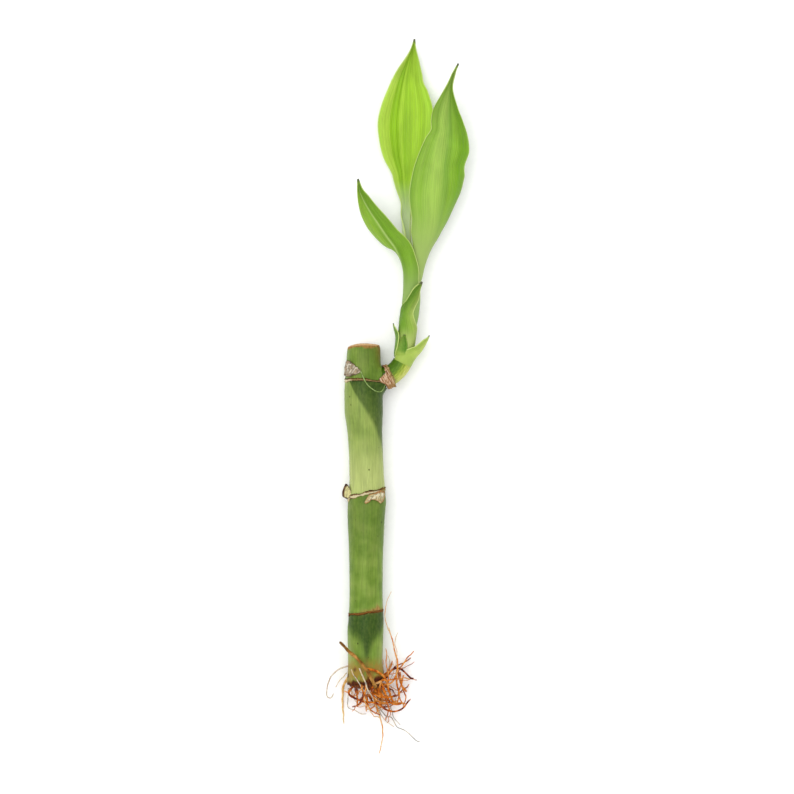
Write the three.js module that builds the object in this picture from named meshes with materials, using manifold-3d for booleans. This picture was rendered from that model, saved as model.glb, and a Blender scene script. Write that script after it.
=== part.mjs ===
// One rooted cutting of lucky bamboo, lying on a flat surface with its leaves toward +Y.
// Millimetres, +Z up. The origin is on the surface, under the flat spot of the cane's middle joint.
import * as THREE from "three";
import { mergeVertices } from "three/addons/utils/BufferGeometryUtils.js";
import Module from "manifold-3d";

const wasm = await Module();
wasm.setup();

// Driving dimensions
const GAP = 0.3;
const SHEET = 0.6;
const CANE_TOP = 52.9;
const CANE_BASE = -60.1;
const BASE_CUT_TILT = 9.5;
const CANE_SIDES = 24;
const BOSS_RADIUS = 3.4;
const BOSS_FOOT_RADIUS = 4.7;
const STEM_RADIUS = 3.55;
const CROWN_RADIUS = 5.6;
const CROWN_DEPTH = 3.6;
const ROOT_RADIUS = 0.75;
const THIN_ROOT_RADIUS = 0.4;
const YOUNG_ROOT_RADIUS = 0.55;
const YOUNG_ROOT_TIP_RADIUS = 0.33;
const FLOOR_CLEARANCE = 0.04;

// Colours, each with its roughness
const CANE_GREEN = [0x748f3c, 0.42];
const RING_BROWN = [0x8f7a50, 0.85];
const HUSK_GREY = [0xb7a88c, 0.9];
const COLLAR_BROWN = [0x9b7a52, 0.85];
const STEM_GREEN = [0x76943c, 0.45];
const BRACT_GREEN = [0x9dbc55, 0.45];
const SMALL_LEAF_GREEN = [0x8fb843, 0.45];
const BACK_LEAF_GREEN = [0x9fcd3e, 0.42];
const FRONT_LEAF_GREEN = [0x86b540, 0.42];
const ROOT_ORANGE = [0xb56a2c, 0.6];
const YOUNG_ROOT_CREAM = [0xdcc391, 0.6];

const UP = new THREE.Vector3(0, 0, 1);
const radians = THREE.MathUtils.degToRad;

const plant = new THREE.Group();

function addPiece(name, geometry, [color, roughness]) {
  const material = new THREE.MeshStandardMaterial({ color, roughness, metalness: 0 });
  const mesh = new THREE.Mesh(geometry, material);
  mesh.name = name;
  plant.add(mesh);
}

// Closed meshes and their joins and cuts
function closedGeometry(points, faces) {
  let sixVolumes = 0;
  const side = new THREE.Vector3();
  for (const [a, b, c] of faces) {
    sixVolumes += points[a].dot(side.crossVectors(points[b], points[c]));
  }
  const outward = sixVolumes > 0 ? faces : faces.map(([a, b, c]) => [a, c, b]);
  const geometry = new THREE.BufferGeometry();
  geometry.setAttribute("position", new THREE.Float32BufferAttribute(points.flatMap((p) => p.toArray()), 3));
  geometry.setIndex(outward.flat());
  return geometry;
}

function toSolid(geometry) {
  const bare = geometry.clone();
  bare.deleteAttribute("normal");
  bare.deleteAttribute("uv");
  const merged = mergeVertices(bare, 1e-3);
  const mesh = new wasm.Mesh({
    numProp: 3,
    vertProperties: new Float32Array(merged.attributes.position.array),
    triVerts: new Uint32Array(merged.index.array),
  });
  return new wasm.Manifold(mesh);
}

function toGeometry(solid) {
  const mesh = solid.getMesh();
  const geometry = new THREE.BufferGeometry();
  geometry.setAttribute("position", new THREE.Float32BufferAttribute(mesh.vertProperties, 3));
  geometry.setIndex(Array.from(mesh.triVerts));
  return geometry;
}

// A large block that fills all the space past a plane, for cutting
const BLOCK_SIZE = 400;
function blockPast(point, direction) {
  const block = new THREE.BoxGeometry(BLOCK_SIZE, BLOCK_SIZE, BLOCK_SIZE);
  block.translate(0, 0, BLOCK_SIZE / 2);
  block.applyQuaternion(new THREE.Quaternion().setFromUnitVectors(UP, direction.clone().normalize()));
  block.translate(point.x, point.y, point.z);
  return toSolid(block);
}

// What lies below the surface is cut away, which leaves the flat spots that the plant rests on
const belowFloor = blockPast(new THREE.Vector3(), new THREE.Vector3(0, 0, -1));

// A skin over a row of rings with the same number of points, closed by a fan at each end
function loft(rings) {
  const sides = rings[0].length;
  const points = rings.flat();
  const faces = [];
  for (let row = 0; row + 1 < rings.length; row += 1) {
    for (let k = 0; k < sides; k += 1) {
      const a = row * sides + k;
      const b = row * sides + ((k + 1) % sides);
      faces.push([a, b, b + sides], [a, b + sides, a + sides]);
    }
  }
  const middle = (ring) => ring.reduce((sum, p) => sum.add(p), new THREE.Vector3()).divideScalar(sides);
  const first = points.push(middle(rings[0])) - 1;
  const last = points.push(middle(rings.at(-1))) - 1;
  const lastRow = (rings.length - 1) * sides;
  for (let k = 0; k < sides; k += 1) {
    const next = (k + 1) % sides;
    faces.push([first, next, k], [last, lastRow + k, lastRow + next]);
  }
  return closedGeometry(points, faces);
}

// A tapering tube along a smooth curve, with a radius for each stretch of its length
function taperedTube(path, radiusAt, { sides, steps }) {
  const curve = new THREE.CatmullRomCurve3(path.map((p) => new THREE.Vector3(...p)));
  const frames = curve.computeFrenetFrames(steps, false);
  const rings = [];
  for (let i = 0; i <= steps; i += 1) {
    const centre = curve.getPointAt(i / steps);
    const radius = radiusAt(i / steps, centre);
    const ring = [];
    for (let k = 0; k < sides; k += 1) {
      const angle = (2 * Math.PI * k) / sides;
      ring.push(
        centre
          .clone()
          .addScaledVector(frames.normals[i], radius * Math.cos(angle))
          .addScaledVector(frames.binormals[i], radius * Math.sin(angle)),
      );
    }
    rings.push(ring);
  }
  return loft(rings);
}

// Reads a table of [position, value, value ...] rows at any position between them
function readTable(table, position) {
  const last = table.length - 1;
  const upper = Math.min(Math.max(table.findIndex((row) => row[0] >= position), 1), last);
  const after = position > table[last][0] ? table[last] : table[upper];
  const before = table[upper - 1];
  const share = THREE.MathUtils.clamp((position - before[0]) / (after[0] - before[0]), 0, 1);
  return before.slice(1).map((value, i) => THREE.MathUtils.lerp(value, after[i + 1], share));
}

// Cane
// Rows from base to top: place along Y, then the centre line's X and Z, then the radius
const CANE_ROWS = [
  [-62.5, -0.1, 6.1, 6.3],
  [-59.6, -0.1, 6.1, 6.3],
  [-53.2, -0.3, 6.1, 5.75],
  [-42.4, -0.2, 6.1, 6.1],
  [-38.4, 0.0, 6.1, 5.95],
  [-34.4, 0.0, 6.1, 5.6],
  [-26.4, 0.0, 6.15, 5.55],
  [-15.6, 0.0, 6.2, 5.75],
  [-3.6, 0.05, 6.2, 6.3],
  [0.5, 0.3, 6.2, 6.5],
  [3.6, 0.3, 6.2, 6.1],
  [7.2, 0.3, 6.2, 5.85],
  [15.6, 0.0, 6.2, 5.65],
  [23.6, -0.4, 6.2, 5.85],
  [30.0, -0.8, 6.2, 6.45],
  [37.6, -0.9, 6.2, 6.45],
  [41.6, -0.9, 6.2, 6.15],
  [46.0, -0.9, 6.2, 5.85],
  [51.6, -0.8, 6.2, 5.4],
  [52.9, -0.8, 6.2, 5.1],
];
const CANE_STATIONS = 28;
const TOP_CROWN = 0.5;
const TOP_CROWN_SHARE = 0.55;
const TOP_SLANT = 0.02;

function caneSkin(grow) {
  const rings = [];
  for (let i = 0; i <= CANE_STATIONS; i += 1) {
    const along = THREE.MathUtils.lerp(CANE_ROWS[0][0], CANE_TOP, i / CANE_STATIONS);
    const [x, z, radius] = readTable(CANE_ROWS, along);
    const ring = [];
    for (let k = 0; k < CANE_SIDES; k += 1) {
      const angle = (2 * Math.PI * (k + 0.5)) / CANE_SIDES;
      const reach = radius + grow;
      ring.push(new THREE.Vector3(x + reach * Math.cos(angle), along, z + reach * Math.sin(angle)));
    }
    rings.push(ring);
  }
  const [x, z, radius] = readTable(CANE_ROWS, CANE_TOP);
  rings.push(rings.at(-1).map((p) => new THREE.Vector3(
    THREE.MathUtils.lerp(x, p.x, TOP_CROWN_SHARE),
    p.y + TOP_CROWN + (radius - p.z + z) * TOP_SLANT,
    THREE.MathUtils.lerp(z, p.z, TOP_CROWN_SHARE),
  )));
  return toSolid(loft(rings));
}

// The base cut slants a little
const baseTurn = radians(BASE_CUT_TILT);
const baseNormal = new THREE.Vector3(Math.sin(baseTurn), -Math.cos(baseTurn), 0);
const pastBase = (shift) => blockPast(new THREE.Vector3(0, CANE_BASE - shift, 0), baseNormal);

// The boss on the cane's right side, where the shoot grows, ends at a flat joint
const JOINT = new THREE.Vector3(7.2, 42.4, 6.5);
const JOINT_FORWARD = new THREE.Vector3(0.9, 0.44, 0.02).normalize();
const BOSS_PATH = [
  [-0.5, 38.8, 6.3],
  [4.0, 40.8, 6.4],
  [8.9, 43.2, 6.5],
];
const bossRadius = (share) => THREE.MathUtils.lerp(BOSS_FOOT_RADIUS, BOSS_RADIUS, share);
const bossTube = toSolid(taperedTube(BOSS_PATH, bossRadius, { sides: 16, steps: 5 }));
const boss = bossTube.subtract(blockPast(JOINT, JOINT_FORWARD));

// A band round an axis, with uneven edges, such as a scar ring or a papery collar
const BAND_SIDES = 26;
const BAND_BEVEL = 0.15;
const RIM_UNEVENNESS_SHARE = 0.25;

function unevenBand({ at, axis, inner, outer, width, uneven, seed }) {
  const along = axis.clone().normalize();
  const across = new THREE.Vector3().crossVectors(along, UP).normalize();
  const over = new THREE.Vector3().crossVectors(across, along);
  const points = [];
  const faces = [];
  for (let k = 0; k < BAND_SIDES; k += 1) {
    const angle = (2 * Math.PI * k) / BAND_SIDES;
    const rough = Math.sin(angle * 5 + seed) * 0.6 + Math.sin(angle * 9 + seed * 2) * 0.4;
    const half = width / 2 + uneven * rough;
    const rim = outer + uneven * RIM_UNEVENNESS_SHARE * Math.sin(angle * 7 + seed * 3);
    const section = [
      [inner, -width / 2],
      [rim - BAND_BEVEL, -width / 2],
      [rim, 0],
      [rim - BAND_BEVEL, half],
      [inner, half],
    ];
    for (const [radius, shift] of section) {
      points.push(
        at
          .clone()
          .addScaledVector(along, shift)
          .addScaledVector(across, radius * Math.cos(angle))
          .addScaledVector(over, radius * Math.sin(angle)),
      );
    }
  }
  const count = points.length / BAND_SIDES;
  for (let k = 0; k < BAND_SIDES; k += 1) {
    const next = (k + 1) % BAND_SIDES;
    for (let j = 0; j < count; j += 1) {
      const step = (j + 1) % count;
      const a = k * count + j;
      const b = next * count + j;
      const c = next * count + step;
      const d = k * count + step;
      faces.push([a, b, c], [a, c, d]);
    }
  }
  return toSolid(closedGeometry(points, faces));
}

// Scar rings: place along the cane, slant, inner and outer radius, width along the cane
const SCAR_RINGS = {
  scar_ring_top: { along: 41.4, slant: 1, inner: 5.6, outer: 6.5, width: 1.1, seed: 1 },
  scar_ring_middle: { along: 3.3, slant: 13.5, inner: 5.7, outer: 6.95, width: 1.4, seed: 4 },
  scar_ring_lower: { along: -36.8, slant: 6.4, inner: 5.15, outer: 6.15, width: 1.3, seed: 7 },
};

const RING_UNEVENNESS = 0.15;

// A ring grown by the gap, with plain edges, is what the cane is cut back by
function scarRing({ along, slant, inner, outer, width, seed }, grow) {
  const [x, z] = readTable(CANE_ROWS, along);
  const turn = radians(slant);
  const slack = grow > 0 ? 2 * (grow + RING_UNEVENNESS) : 0;
  return unevenBand({
    at: new THREE.Vector3(x, along, z),
    axis: new THREE.Vector3(-Math.sin(turn), Math.cos(turn), 0),
    inner: inner - grow,
    outer: outer + grow,
    width: width + slack,
    uneven: grow > 0 ? 0 : RING_UNEVENNESS,
    seed,
  });
}

// Papery scraps of old leaf sheath, sunk a little into the cane
// Rows: angle round the cane (0 right, 90 up), then where the scrap starts and ends along Y
const HUSKS = {
  husk_top: {
    rows: [[108, 43.0, 43.9], [124, 42.8, 46.6], [142, 42.7, 47.9], [160, 42.8, 46.2], [176, 43.0, 44.2]],
    surface: 6.4,
  },
  husk_middle: {
    rows: [[0, 2.4, 3.6], [18, 1.7, 3.3], [38, 1.2, 2.8], [58, 0.5, 2.0], [78, 0.3, 1.3], [94, 0.2, 0.7]],
    surface: 6.75,
  },
};
const HUSK_FACET_SLACK = 0.1;

function huskScrap({ rows, surface }, grow) {
  const [x, z] = readTable(CANE_ROWS, (rows[0][1] + rows[0][2]) / 2);
  const inside = surface - SHEET - grow;
  const outside = surface + grow;
  const rings = rows.map(([degrees, start, end], i) => {
    const edge = i === 0 ? -grow : i === rows.length - 1 ? grow : 0;
    const angle = radians(degrees) + edge / surface;
    const corner = (radius, along) =>
      new THREE.Vector3(x + radius * Math.cos(angle), along, z + radius * Math.sin(angle));
    return [
      corner(inside, start - grow),
      corner(outside, start - grow),
      corner(outside, end + grow),
      corner(inside, end + grow),
    ];
  });
  return toSolid(loft(rings));
}

let cane = caneSkin(0).subtract(pastBase(0)).add(boss).subtract(belowFloor);
for (const [name, ring] of Object.entries(SCAR_RINGS)) {
  cane = cane.subtract(scarRing(ring, GAP));
  const cut = scarRing(ring, 0).subtract(belowFloor);
  addPiece(name, toGeometry(cut), RING_BROWN);
}
for (const [name, husk] of Object.entries(HUSKS)) {
  cane = cane.subtract(huskScrap(husk, GAP + HUSK_FACET_SLACK));
  addPiece(name, toGeometry(huskScrap(husk, 0)), HUSK_GREY);
}
addPiece("cane", toGeometry(cane), CANE_GREEN);

// Side shoot
// The stem's centre line, from the boss to the core inside the leaf sheaths
const STEM_PATH = [
  [6.9, 42.2, 6.5],
  [9.4, 43.8, 6.6],
  [11.2, 45.6, 6.7],
  [12.3, 47.6, 6.8],
  [13.1, 51.0, 6.9],
  [14.0, 57.2, 7.0],
  [14.7, 62.4, 7.1],
  [15.2, 67.6, 7.1],
  [15.6, 72.4, 7.0],
  [15.8, 79.6, 6.8],
];
// Rows: place along Y and the stem's radius there
const STEM_ROWS = [
  [42.2, STEM_RADIUS],
  [44.6, 3.45],
  [46.6, 3.3],
  [47.8, 2.35],
  [51.6, 2.05],
  [57.0, 1.9],
  [59.0, 1.7],
  [64.0, 1.55],
  [67.6, 1.3],
  [72.4, 1.0],
  [79.6, 0.85],
];
const stemCurve = new THREE.CatmullRomCurve3(STEM_PATH.map((p) => new THREE.Vector3(...p)));
const stemRadius = (share, centre) => readTable(STEM_ROWS, centre.y)[0];
const stemStart = blockPast(
  JOINT.clone().addScaledVector(JOINT_FORWARD, GAP),
  JOINT_FORWARD.clone().negate(),
);
const stem = toSolid(taperedTube(STEM_PATH, stemRadius, { sides: 14, steps: 26 })).subtract(stemStart);
addPiece("shoot_stem", toGeometry(stem), STEM_GREEN);

const COLLAR_THICKNESS = 0.7;
const COLLAR_RADIUS = STEM_RADIUS + GAP + 0.2;
const collar = unevenBand({
  at: JOINT,
  axis: JOINT_FORWARD,
  inner: COLLAR_RADIUS,
  outer: COLLAR_RADIUS + COLLAR_THICKNESS,
  width: 1.8,
  uneven: 0.4,
  seed: 2,
});
addPiece("branch_collar", toGeometry(collar.subtract(caneSkin(GAP))), COLLAR_BROWN);

// Leaves
// A leaf is one sheet, from the sheath that wraps the stem to the tip of its blade. Each row along its
// keel gives the keel's place, the side that the keel faces (0 right, 90 up, 180 left, -90 down), the
// radius that the sheet curls with there, its fold at the keel, and the widths of its two halves.
function stemPointAt(along) {
  let low = 0;
  let high = 1;
  for (let i = 0; i < 24; i += 1) {
    const middle = (low + high) / 2;
    if (stemCurve.getPoint(middle).y < along) low = middle;
    else high = middle;
  }
  return { centre: stemCurve.getPoint(low), forward: stemCurve.getTangent(low) };
}

function sideFrame(forward, degrees) {
  const right = new THREE.Vector3().crossVectors(forward, UP).normalize();
  const above = new THREE.Vector3().crossVectors(right, forward);
  const turn = radians(degrees);
  const out = right.clone().multiplyScalar(Math.cos(turn)).addScaledVector(above, Math.sin(turn));
  const across = right.clone().multiplyScalar(Math.sin(turn)).addScaledVector(above, -Math.cos(turn));
  return { out, across };
}

// A row whose sheet wraps the stem, centred on it
function wrapped(along, side, curl, back, front) {
  const { centre, forward } = stemPointAt(along);
  const at = centre.addScaledVector(sideFrame(forward, side).out, curl);
  return { at: at.toArray(), side, curl, fold: 0, back, front };
}

// A row of the free blade
function blade(at, side, curl, fold, back, front) {
  return { at, side, curl, fold, back, front };
}

const FOLD_REACH = 0.8;
const SMALLEST_HALF = 0.3;
const SHEET_STEPS = 12;
const NUDGE = 1e-3;

function leafSurface(rows, wave) {
  const keel = new THREE.CatmullRomCurve3(rows.map((row) => new THREE.Vector3(...row.at)));
  const bends = new THREE.CatmullRomCurve3(
    rows.map((row) => new THREE.Vector3(row.side, 1 / row.curl, row.fold)), false, "catmullrom", 0.5);
  const halves = new THREE.CatmullRomCurve3(
    rows.map((row) => new THREE.Vector3(row.back, row.front, 0)), false, "catmullrom", 0.5);
  return (share, across) => {
    const at = keel.getPoint(share);
    const frame = sideFrame(keel.getTangent(share), bends.getPoint(share).x);
    const { y: curvature, z: fold } = bends.getPoint(share);
    const { x: back, y: front } = halves.getPoint(share);
    const half = Math.max(across < 0 ? back : front, SMALLEST_HALF);
    const stride = (Math.abs(across) * half) / SHEET_STEPS;
    let outward = 0;
    let sideways = 0;
    for (let i = 0; i < SHEET_STEPS; i += 1) {
      const reach = (i + 0.5) * stride;
      const slope = reach * curvature + radians(fold) * (1 - Math.exp(-reach / FOLD_REACH));
      sideways += stride * Math.cos(slope);
      outward -= stride * Math.sin(slope);
    }
    const lift = wave ? wave(share, across) : 0;
    return at
      .addScaledVector(frame.across, Math.sign(across) * sideways)
      .addScaledVector(frame.out, outward + lift);
  };
}

// The sheet's two faces stand half its thickness off the surface. Both are split into like triangles.
function leafGeometry(surface, { lengths, widths, flatUnder = false }) {
  const points = [];
  const faces = [];
  const row = widths + 1;
  for (const face of [1, -1]) {
    for (let i = 0; i <= lengths; i += 1) {
      for (let j = 0; j <= widths; j += 1) {
        const share = i / lengths;
        const across = (2 * j) / widths - 1;
        const late = Math.min(share + NUDGE, 1);
        const along = surface(late, across).sub(surface(late - NUDGE, across));
        const wide = Math.min(across + NUDGE, 1);
        const sideways = surface(share, wide).sub(surface(share, wide - NUDGE));
        const normal = new THREE.Vector3().crossVectors(sideways, along).normalize();
        const point = surface(share, across).addScaledVector(normal, (face * SHEET) / 2);
        if (flatUnder) point.z = Math.max(point.z, 0);
        points.push(point);
      }
    }
  }
  const other = (lengths + 1) * row;
  for (let i = 0; i < lengths; i += 1) {
    for (let j = 0; j < widths; j += 1) {
      const a = i * row + j;
      const b = a + 1;
      const c = b + row;
      const d = a + row;
      faces.push([a, b, c], [a, c, d]);
      faces.push([a + other, c + other, b + other], [a + other, d + other, c + other]);
    }
  }
  const rim = [];
  for (let j = 0; j < widths; j += 1) rim.push(j);
  for (let i = 0; i < lengths; i += 1) rim.push(i * row + widths);
  for (let j = widths; j > 0; j -= 1) rim.push(lengths * row + j);
  for (let i = lengths; i > 0; i -= 1) rim.push(i * row);
  rim.forEach((a, k) => {
    const b = rim[(k + 1) % rim.length];
    faces.push([a, a + other, b + other], [a, b + other, b]);
  });
  return closedGeometry(points, faces);
}

// The small leaf on the left: its sheath wraps the stem in front
const SMALL_LEAF = [
  wrapped(58.6, 180, 2.35, 5.6, 5.6),
  wrapped(62.4, 180, 2.4, 5.6, 5.6),
  wrapped(66.6, 178, 2.6, 5.6, 5.8),
  wrapped(70.4, 176, 2.85, 5.4, 6.4),
  wrapped(74.0, 174, 3.05, 5.2, 6.8),
  blade([12.5, 78.0, 7.6], 174, 3.2, 0, 5.0, 6.9),
  blade([11.5, 82.0, 8.2], 162, 3.9, 6, 5.0, 6.2),
  blade([9.9, 85.4, 9.8], 132, 6.0, 12, 5.6, 5.4),
  blade([7.4, 88.9, 10.2], 114, 9.0, 20, 6.5, 4.4),
  blade([4.3, 93.5, 10.8], 108, 10.0, 20, 6.6, 3.8),
  blade([1.2, 98.1, 10.6], 106, 10.0, 20, 4.9, 3.0),
  blade([-1.0, 102.0, 10.0], 104, 9.0, 18, 2.4, 2.3),
  blade([-2.2, 105.0, 9.3], 100, 8.0, 14, 0.9, 1.3),
  blade([-2.7, 108.8, 8.4], 95, 8.0, 8, 0.3, 0.3),
];

// The front leaf arches over the back one, with its outer face up
const FRONT_LEAF = [
  wrapped(70.6, 20, 1.7, 3.6, 3.6),
  wrapped(72.6, 14, 1.75, 3.6, 3.8),
  blade([18.5, 75.0, 6.9], 6, 2.3, 0, 3.4, 3.6),
  blade([19.4, 79.0, 6.9], 12, 2.6, 0, 4.0, 4.2),
  blade([20.6, 83.5, 7.9], 30, 3.5, 2, 5.4, 4.4),
  blade([22.1, 88.5, 10.4], 52, 5.5, 3, 8.0, 4.0),
  blade([23.2, 94.4, 12.4], 68, 8.5, 5, 8.6, 6.1),
  blade([23.8, 102.4, 14.2], 80, 11.0, 6, 10.6, 9.7),
  blade([24.3, 109.6, 15.1], 86, 12.5, 6, 9.9, 10.1),
  blade([24.7, 113.6, 15.2], 88, 12.8, 6, 9.0, 9.2),
  blade([25.2, 118.4, 15.2], 90, 13.0, 6, 7.6, 10.6),
  blade([26.2, 126.4, 14.4], 92, 12.0, 6, 5.1, 8.1),
  blade([27.0, 132.4, 13.2], 94, 9.0, 8, 4.8, 4.4),
  blade([28.0, 139.0, 11.7], 94, 5.0, 10, 1.6, 1.2),
  blade([29.5, 143.9, 10.7], 92, 4.0, 8, 0.7, 0.5),
  blade([31.0, 147.4, 10.1], 90, 4.0, 6, 0.3, 0.3),
];

// The back leaf lies low, with its keel on the surface and its inner face up
const BACK_LEAF = [
  wrapped(76.4, -150, 1.5, 3.2, 2.2),
  wrapped(79.2, -150, 1.5, 3.2, 2.2),
  blade([13.8, 83.0, 6.0], -150, 1.5, 0, 3.1, 2.4),
  blade([12.8, 87.5, 5.6], -150, 1.5, 0, 2.9, 2.8),
  blade([12.6, 92.0, 4.9], -140, 1.6, 0, 2.6, 2.6),
  blade([13.0, 96.4, 3.6], -115, 2.4, 0, 2.2, 2.2),
  blade([13.5, 100.4, 2.4], -96, 4.5, 4, 2.2, 2.0),
  blade([13.6, 104.8, 1.4], -90, 8.0, 6, 3.8, 3.5),
  blade([13.4, 110.4, 0.6], -90, 12.0, 6, 6.0, 5.4),
  blade([13.3, 116.4, 0.3], -90, 14.0, 5, 8.5, 8.1),
  blade([13.2, 122.4, 0.3], -90, 15.0, 4, 9.9, 9.8),
  blade([13.2, 128.4, 0.3], -90, 15.0, 4, 10.5, 10.3),
  blade([13.3, 134.4, 0.6], -90, 14.0, 5, 10.2, 8.8),
  blade([13.6, 140.4, 1.3], -90, 12.0, 6, 7.6, 6.2),
  blade([14.2, 145.4, 2.1], -90, 10.0, 6, 5.2, 4.0),
  blade([15.0, 150.0, 2.9], -90, 8.0, 6, 3.0, 1.6),
  blade([15.7, 153.4, 3.6], -90, 6.0, 4, 1.2, 0.5),
  blade([16.3, 156.1, 4.2], -90, 6.0, 2, 0.3, 0.3),
];

// The scale leaves along the shoot, from the lowest joint up
const RIGHT_BRACT = [
  wrapped(47.9, 0, 3.1, 4.3, 4.6),
  blade([16.8, 48.3, 6.9], 4, 3.4, 0, 4.3, 4.4),
  blade([18.4, 50.6, 7.0], 6, 2.9, 4, 3.6, 3.6),
  blade([19.8, 52.8, 7.1], 8, 2.4, 8, 2.4, 2.4),
  blade([20.8, 54.8, 7.1], 8, 2.2, 8, 1.2, 1.2),
  blade([21.3, 56.2, 7.2], 8, 2.2, 4, 0.3, 0.3),
];
const LEFT_BRACT = [
  wrapped(49.0, 184, 3.1, 3.4, 1.5),
  wrapped(52.4, 184, 3.75, 3.6, 1.7),
  wrapped(56.0, 182, 4.1, 2.8, 1.8),
  blade([9.4, 58.4, 7.1], 176, 3.4, 6, 1.7, 1.6),
  blade([9.1, 60.4, 7.2], 174, 3.2, 4, 0.3, 0.3),
];
const FRONT_BRACT = [
  wrapped(48.8, 120, 3.3, 1.4, 1.7),
  wrapped(51.2, 118, 3.6, 1.5, 1.8),
  wrapped(53.6, 114, 3.75, 1.3, 1.7),
  wrapped(55.4, 110, 4.0, 0.8, 1.0),
  wrapped(56.8, 106, 4.2, 0.3, 0.3),
];
const UPPER_BRACT = [
  wrapped(51.9, 130, 2.75, 7.2, 7.2),
  wrapped(55.0, 132, 2.85, 7.2, 7.0),
  wrapped(58.4, 134, 3.3, 7.2, 5.6),
  wrapped(61.4, 134, 3.5, 6.0, 3.8),
  wrapped(64.2, 128, 3.75, 3.2, 2.8),
  wrapped(66.8, 110, 4.0, 1.3, 3.0),
  wrapped(69.2, 86, 4.2, 1.3, 2.6),
  blade([17.1, 71.6, 11.2], 66, 3.9, 2, 1.3, 1.6),
  blade([18.8, 74.2, 10.9], 60, 3.9, 2, 0.3, 0.3),
];

// The edges of the two large blades wave a little; the waves rise and fade over these shares of the leaf
const WAVE_HEIGHT = 0.5;
const WAVES_RISE = [0.45, 0.6];
const WAVES_FADE = [0.85, 1];
function edgeWave(waves, phase) {
  return (share, across) => {
    const rise = THREE.MathUtils.smoothstep(share, ...WAVES_RISE);
    const fade = 1 - THREE.MathUtils.smoothstep(share, ...WAVES_FADE);
    const swing = Math.sin(share * Math.PI * 2 * waves + phase * Math.sign(across));
    return WAVE_HEIGHT * swing * across ** 4 * rise * fade;
  };
}

addPiece("leaf_small", leafGeometry(leafSurface(SMALL_LEAF), { lengths: 30, widths: 8 }), SMALL_LEAF_GREEN);
addPiece(
  "leaf_front",
  leafGeometry(leafSurface(FRONT_LEAF, edgeWave(5, 1)), { lengths: 38, widths: 10 }),
  FRONT_LEAF_GREEN,
);
addPiece(
  "leaf_back",
  leafGeometry(leafSurface(BACK_LEAF, edgeWave(4, 2)), { lengths: 38, widths: 10, flatUnder: true }),
  BACK_LEAF_GREEN,
);
const BRACTS = {
  bract_right: RIGHT_BRACT,
  bract_left: LEFT_BRACT,
  bract_front: FRONT_BRACT,
  bract_upper: UPPER_BRACT,
};
for (const [name, rows] of Object.entries(BRACTS)) {
  addPiece(name, leafGeometry(leafSurface(rows), { lengths: 14, widths: 8 }), BRACT_GREEN);
}

// Roots
// A small seeded generator, so that the roots are the same each time
function seededRandom(seed) {
  let state = seed;
  return () => {
    state = (state * 1664525 + 1013904223) % 4294967296;
    return state / 4294967296;
  };
}

const [crownX, crownZ] = readTable(CANE_ROWS, CANE_BASE);
const CROWN_LUMPS = 0.07;
const crown = new THREE.IcosahedronGeometry(1, 3);
const crownPoints = crown.attributes.position;
for (let i = 0; i < crownPoints.count; i += 1) {
  const p = new THREE.Vector3().fromBufferAttribute(crownPoints, i);
  const lump = 1 + CROWN_LUMPS * (Math.sin(p.x * 7 + 1) * Math.cos(p.z * 6) + Math.sin(p.y * 9));
  crownPoints.setXYZ(
    i,
    crownX + p.x * CROWN_RADIUS * lump,
    CANE_BASE + p.y * CROWN_DEPTH * lump,
    crownZ + p.z * CROWN_RADIUS * lump,
  );
}

function rootTube(path, start, end) {
  const lowest = Math.max(start, end) + FLOOR_CLEARANCE;
  const raised = path.map(([x, y, z]) => [x, y, Math.max(z, lowest)]);
  const radiusAt = (share) => THREE.MathUtils.lerp(start, end, share);
  return taperedTube(raised, radiusAt, { sides: 6, steps: 14 });
}

// The roots that show, from the crown outward
const STOUT_ROOTS = [
  [[3.2, -61.5, 10.0], [2.8, -60.6, 13.0], [0.6, -56.4, 13.6], [-2.4, -52.4, 13.2], [-6.4, -49.0, 11.4],
    [-8.9, -46.6, 8.4]],
  [[-4.2, -61.4, 8.2], [-5.8, -63.8, 9.8], [-1.6, -66.2, 10.6], [3.3, -67.0, 10.2], [8.1, -69.8, 8.0],
    [11.8, -69.4, 5.4], [15.0, -66.0, 3.0]],
  [[1.5, -62.0, 5.0], [3.0, -67.6, 5.6], [5.4, -74.6, 3.0], [5.4, -80.0, 1.2], [4.4, -85.0, 0.9]],
  [[3.8, -61.0, 7.0], [8.4, -60.4, 8.2], [10.6, -55.4, 8.0], [9.2, -47.8, 7.6], [7.6, -41.6, 7.0]],
];

// Curly roots fill the clump. Each starts in the crown, curls as it goes outward, and sinks.
// Headings and curls are in radians, 0 toward +X; heights and lengths are in millimetres.
const CURLY_ROOTS = {
  count: 15,
  seed: 8,
  headings: [-1.9, 0.75],
  lengths: [8, 15],
  curls: [-2.6, 2.6],
  heights: [2.0, 11.0],
  steps: 6,
};

function curlyRoot(random, turn) {
  const between = ([low, high]) => THREE.MathUtils.lerp(low, high, random());
  const { headings, lengths, curls, heights, steps } = CURLY_ROOTS;
  const angle = THREE.MathUtils.lerp(...headings, turn);
  const heading = new THREE.Vector3(Math.cos(angle), Math.sin(angle), 0);
  const stride = between(lengths) / steps;
  const curl = between(curls) / steps;
  const height = between(heights);
  const point = new THREE.Vector3(crownX, CANE_BASE - CROWN_DEPTH / 2, 0);
  point.addScaledVector(heading, CROWN_RADIUS / 2);
  const path = [];
  for (let step = 0; step <= steps; step += 1) {
    const share = step / steps;
    path.push([point.x, point.y, height * (1 - share ** 2) + Math.sin(share * Math.PI + turn) * ROOT_RADIUS]);
    heading.applyAxisAngle(UP, curl);
    point.addScaledVector(heading, stride);
  }
  return path;
}

const random = seededRandom(CURLY_ROOTS.seed);
for (let i = 0; i < CURLY_ROOTS.count; i += 1) {
  STOUT_ROOTS.push(curlyRoot(random, (i + random()) / CURLY_ROOTS.count));
}

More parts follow.
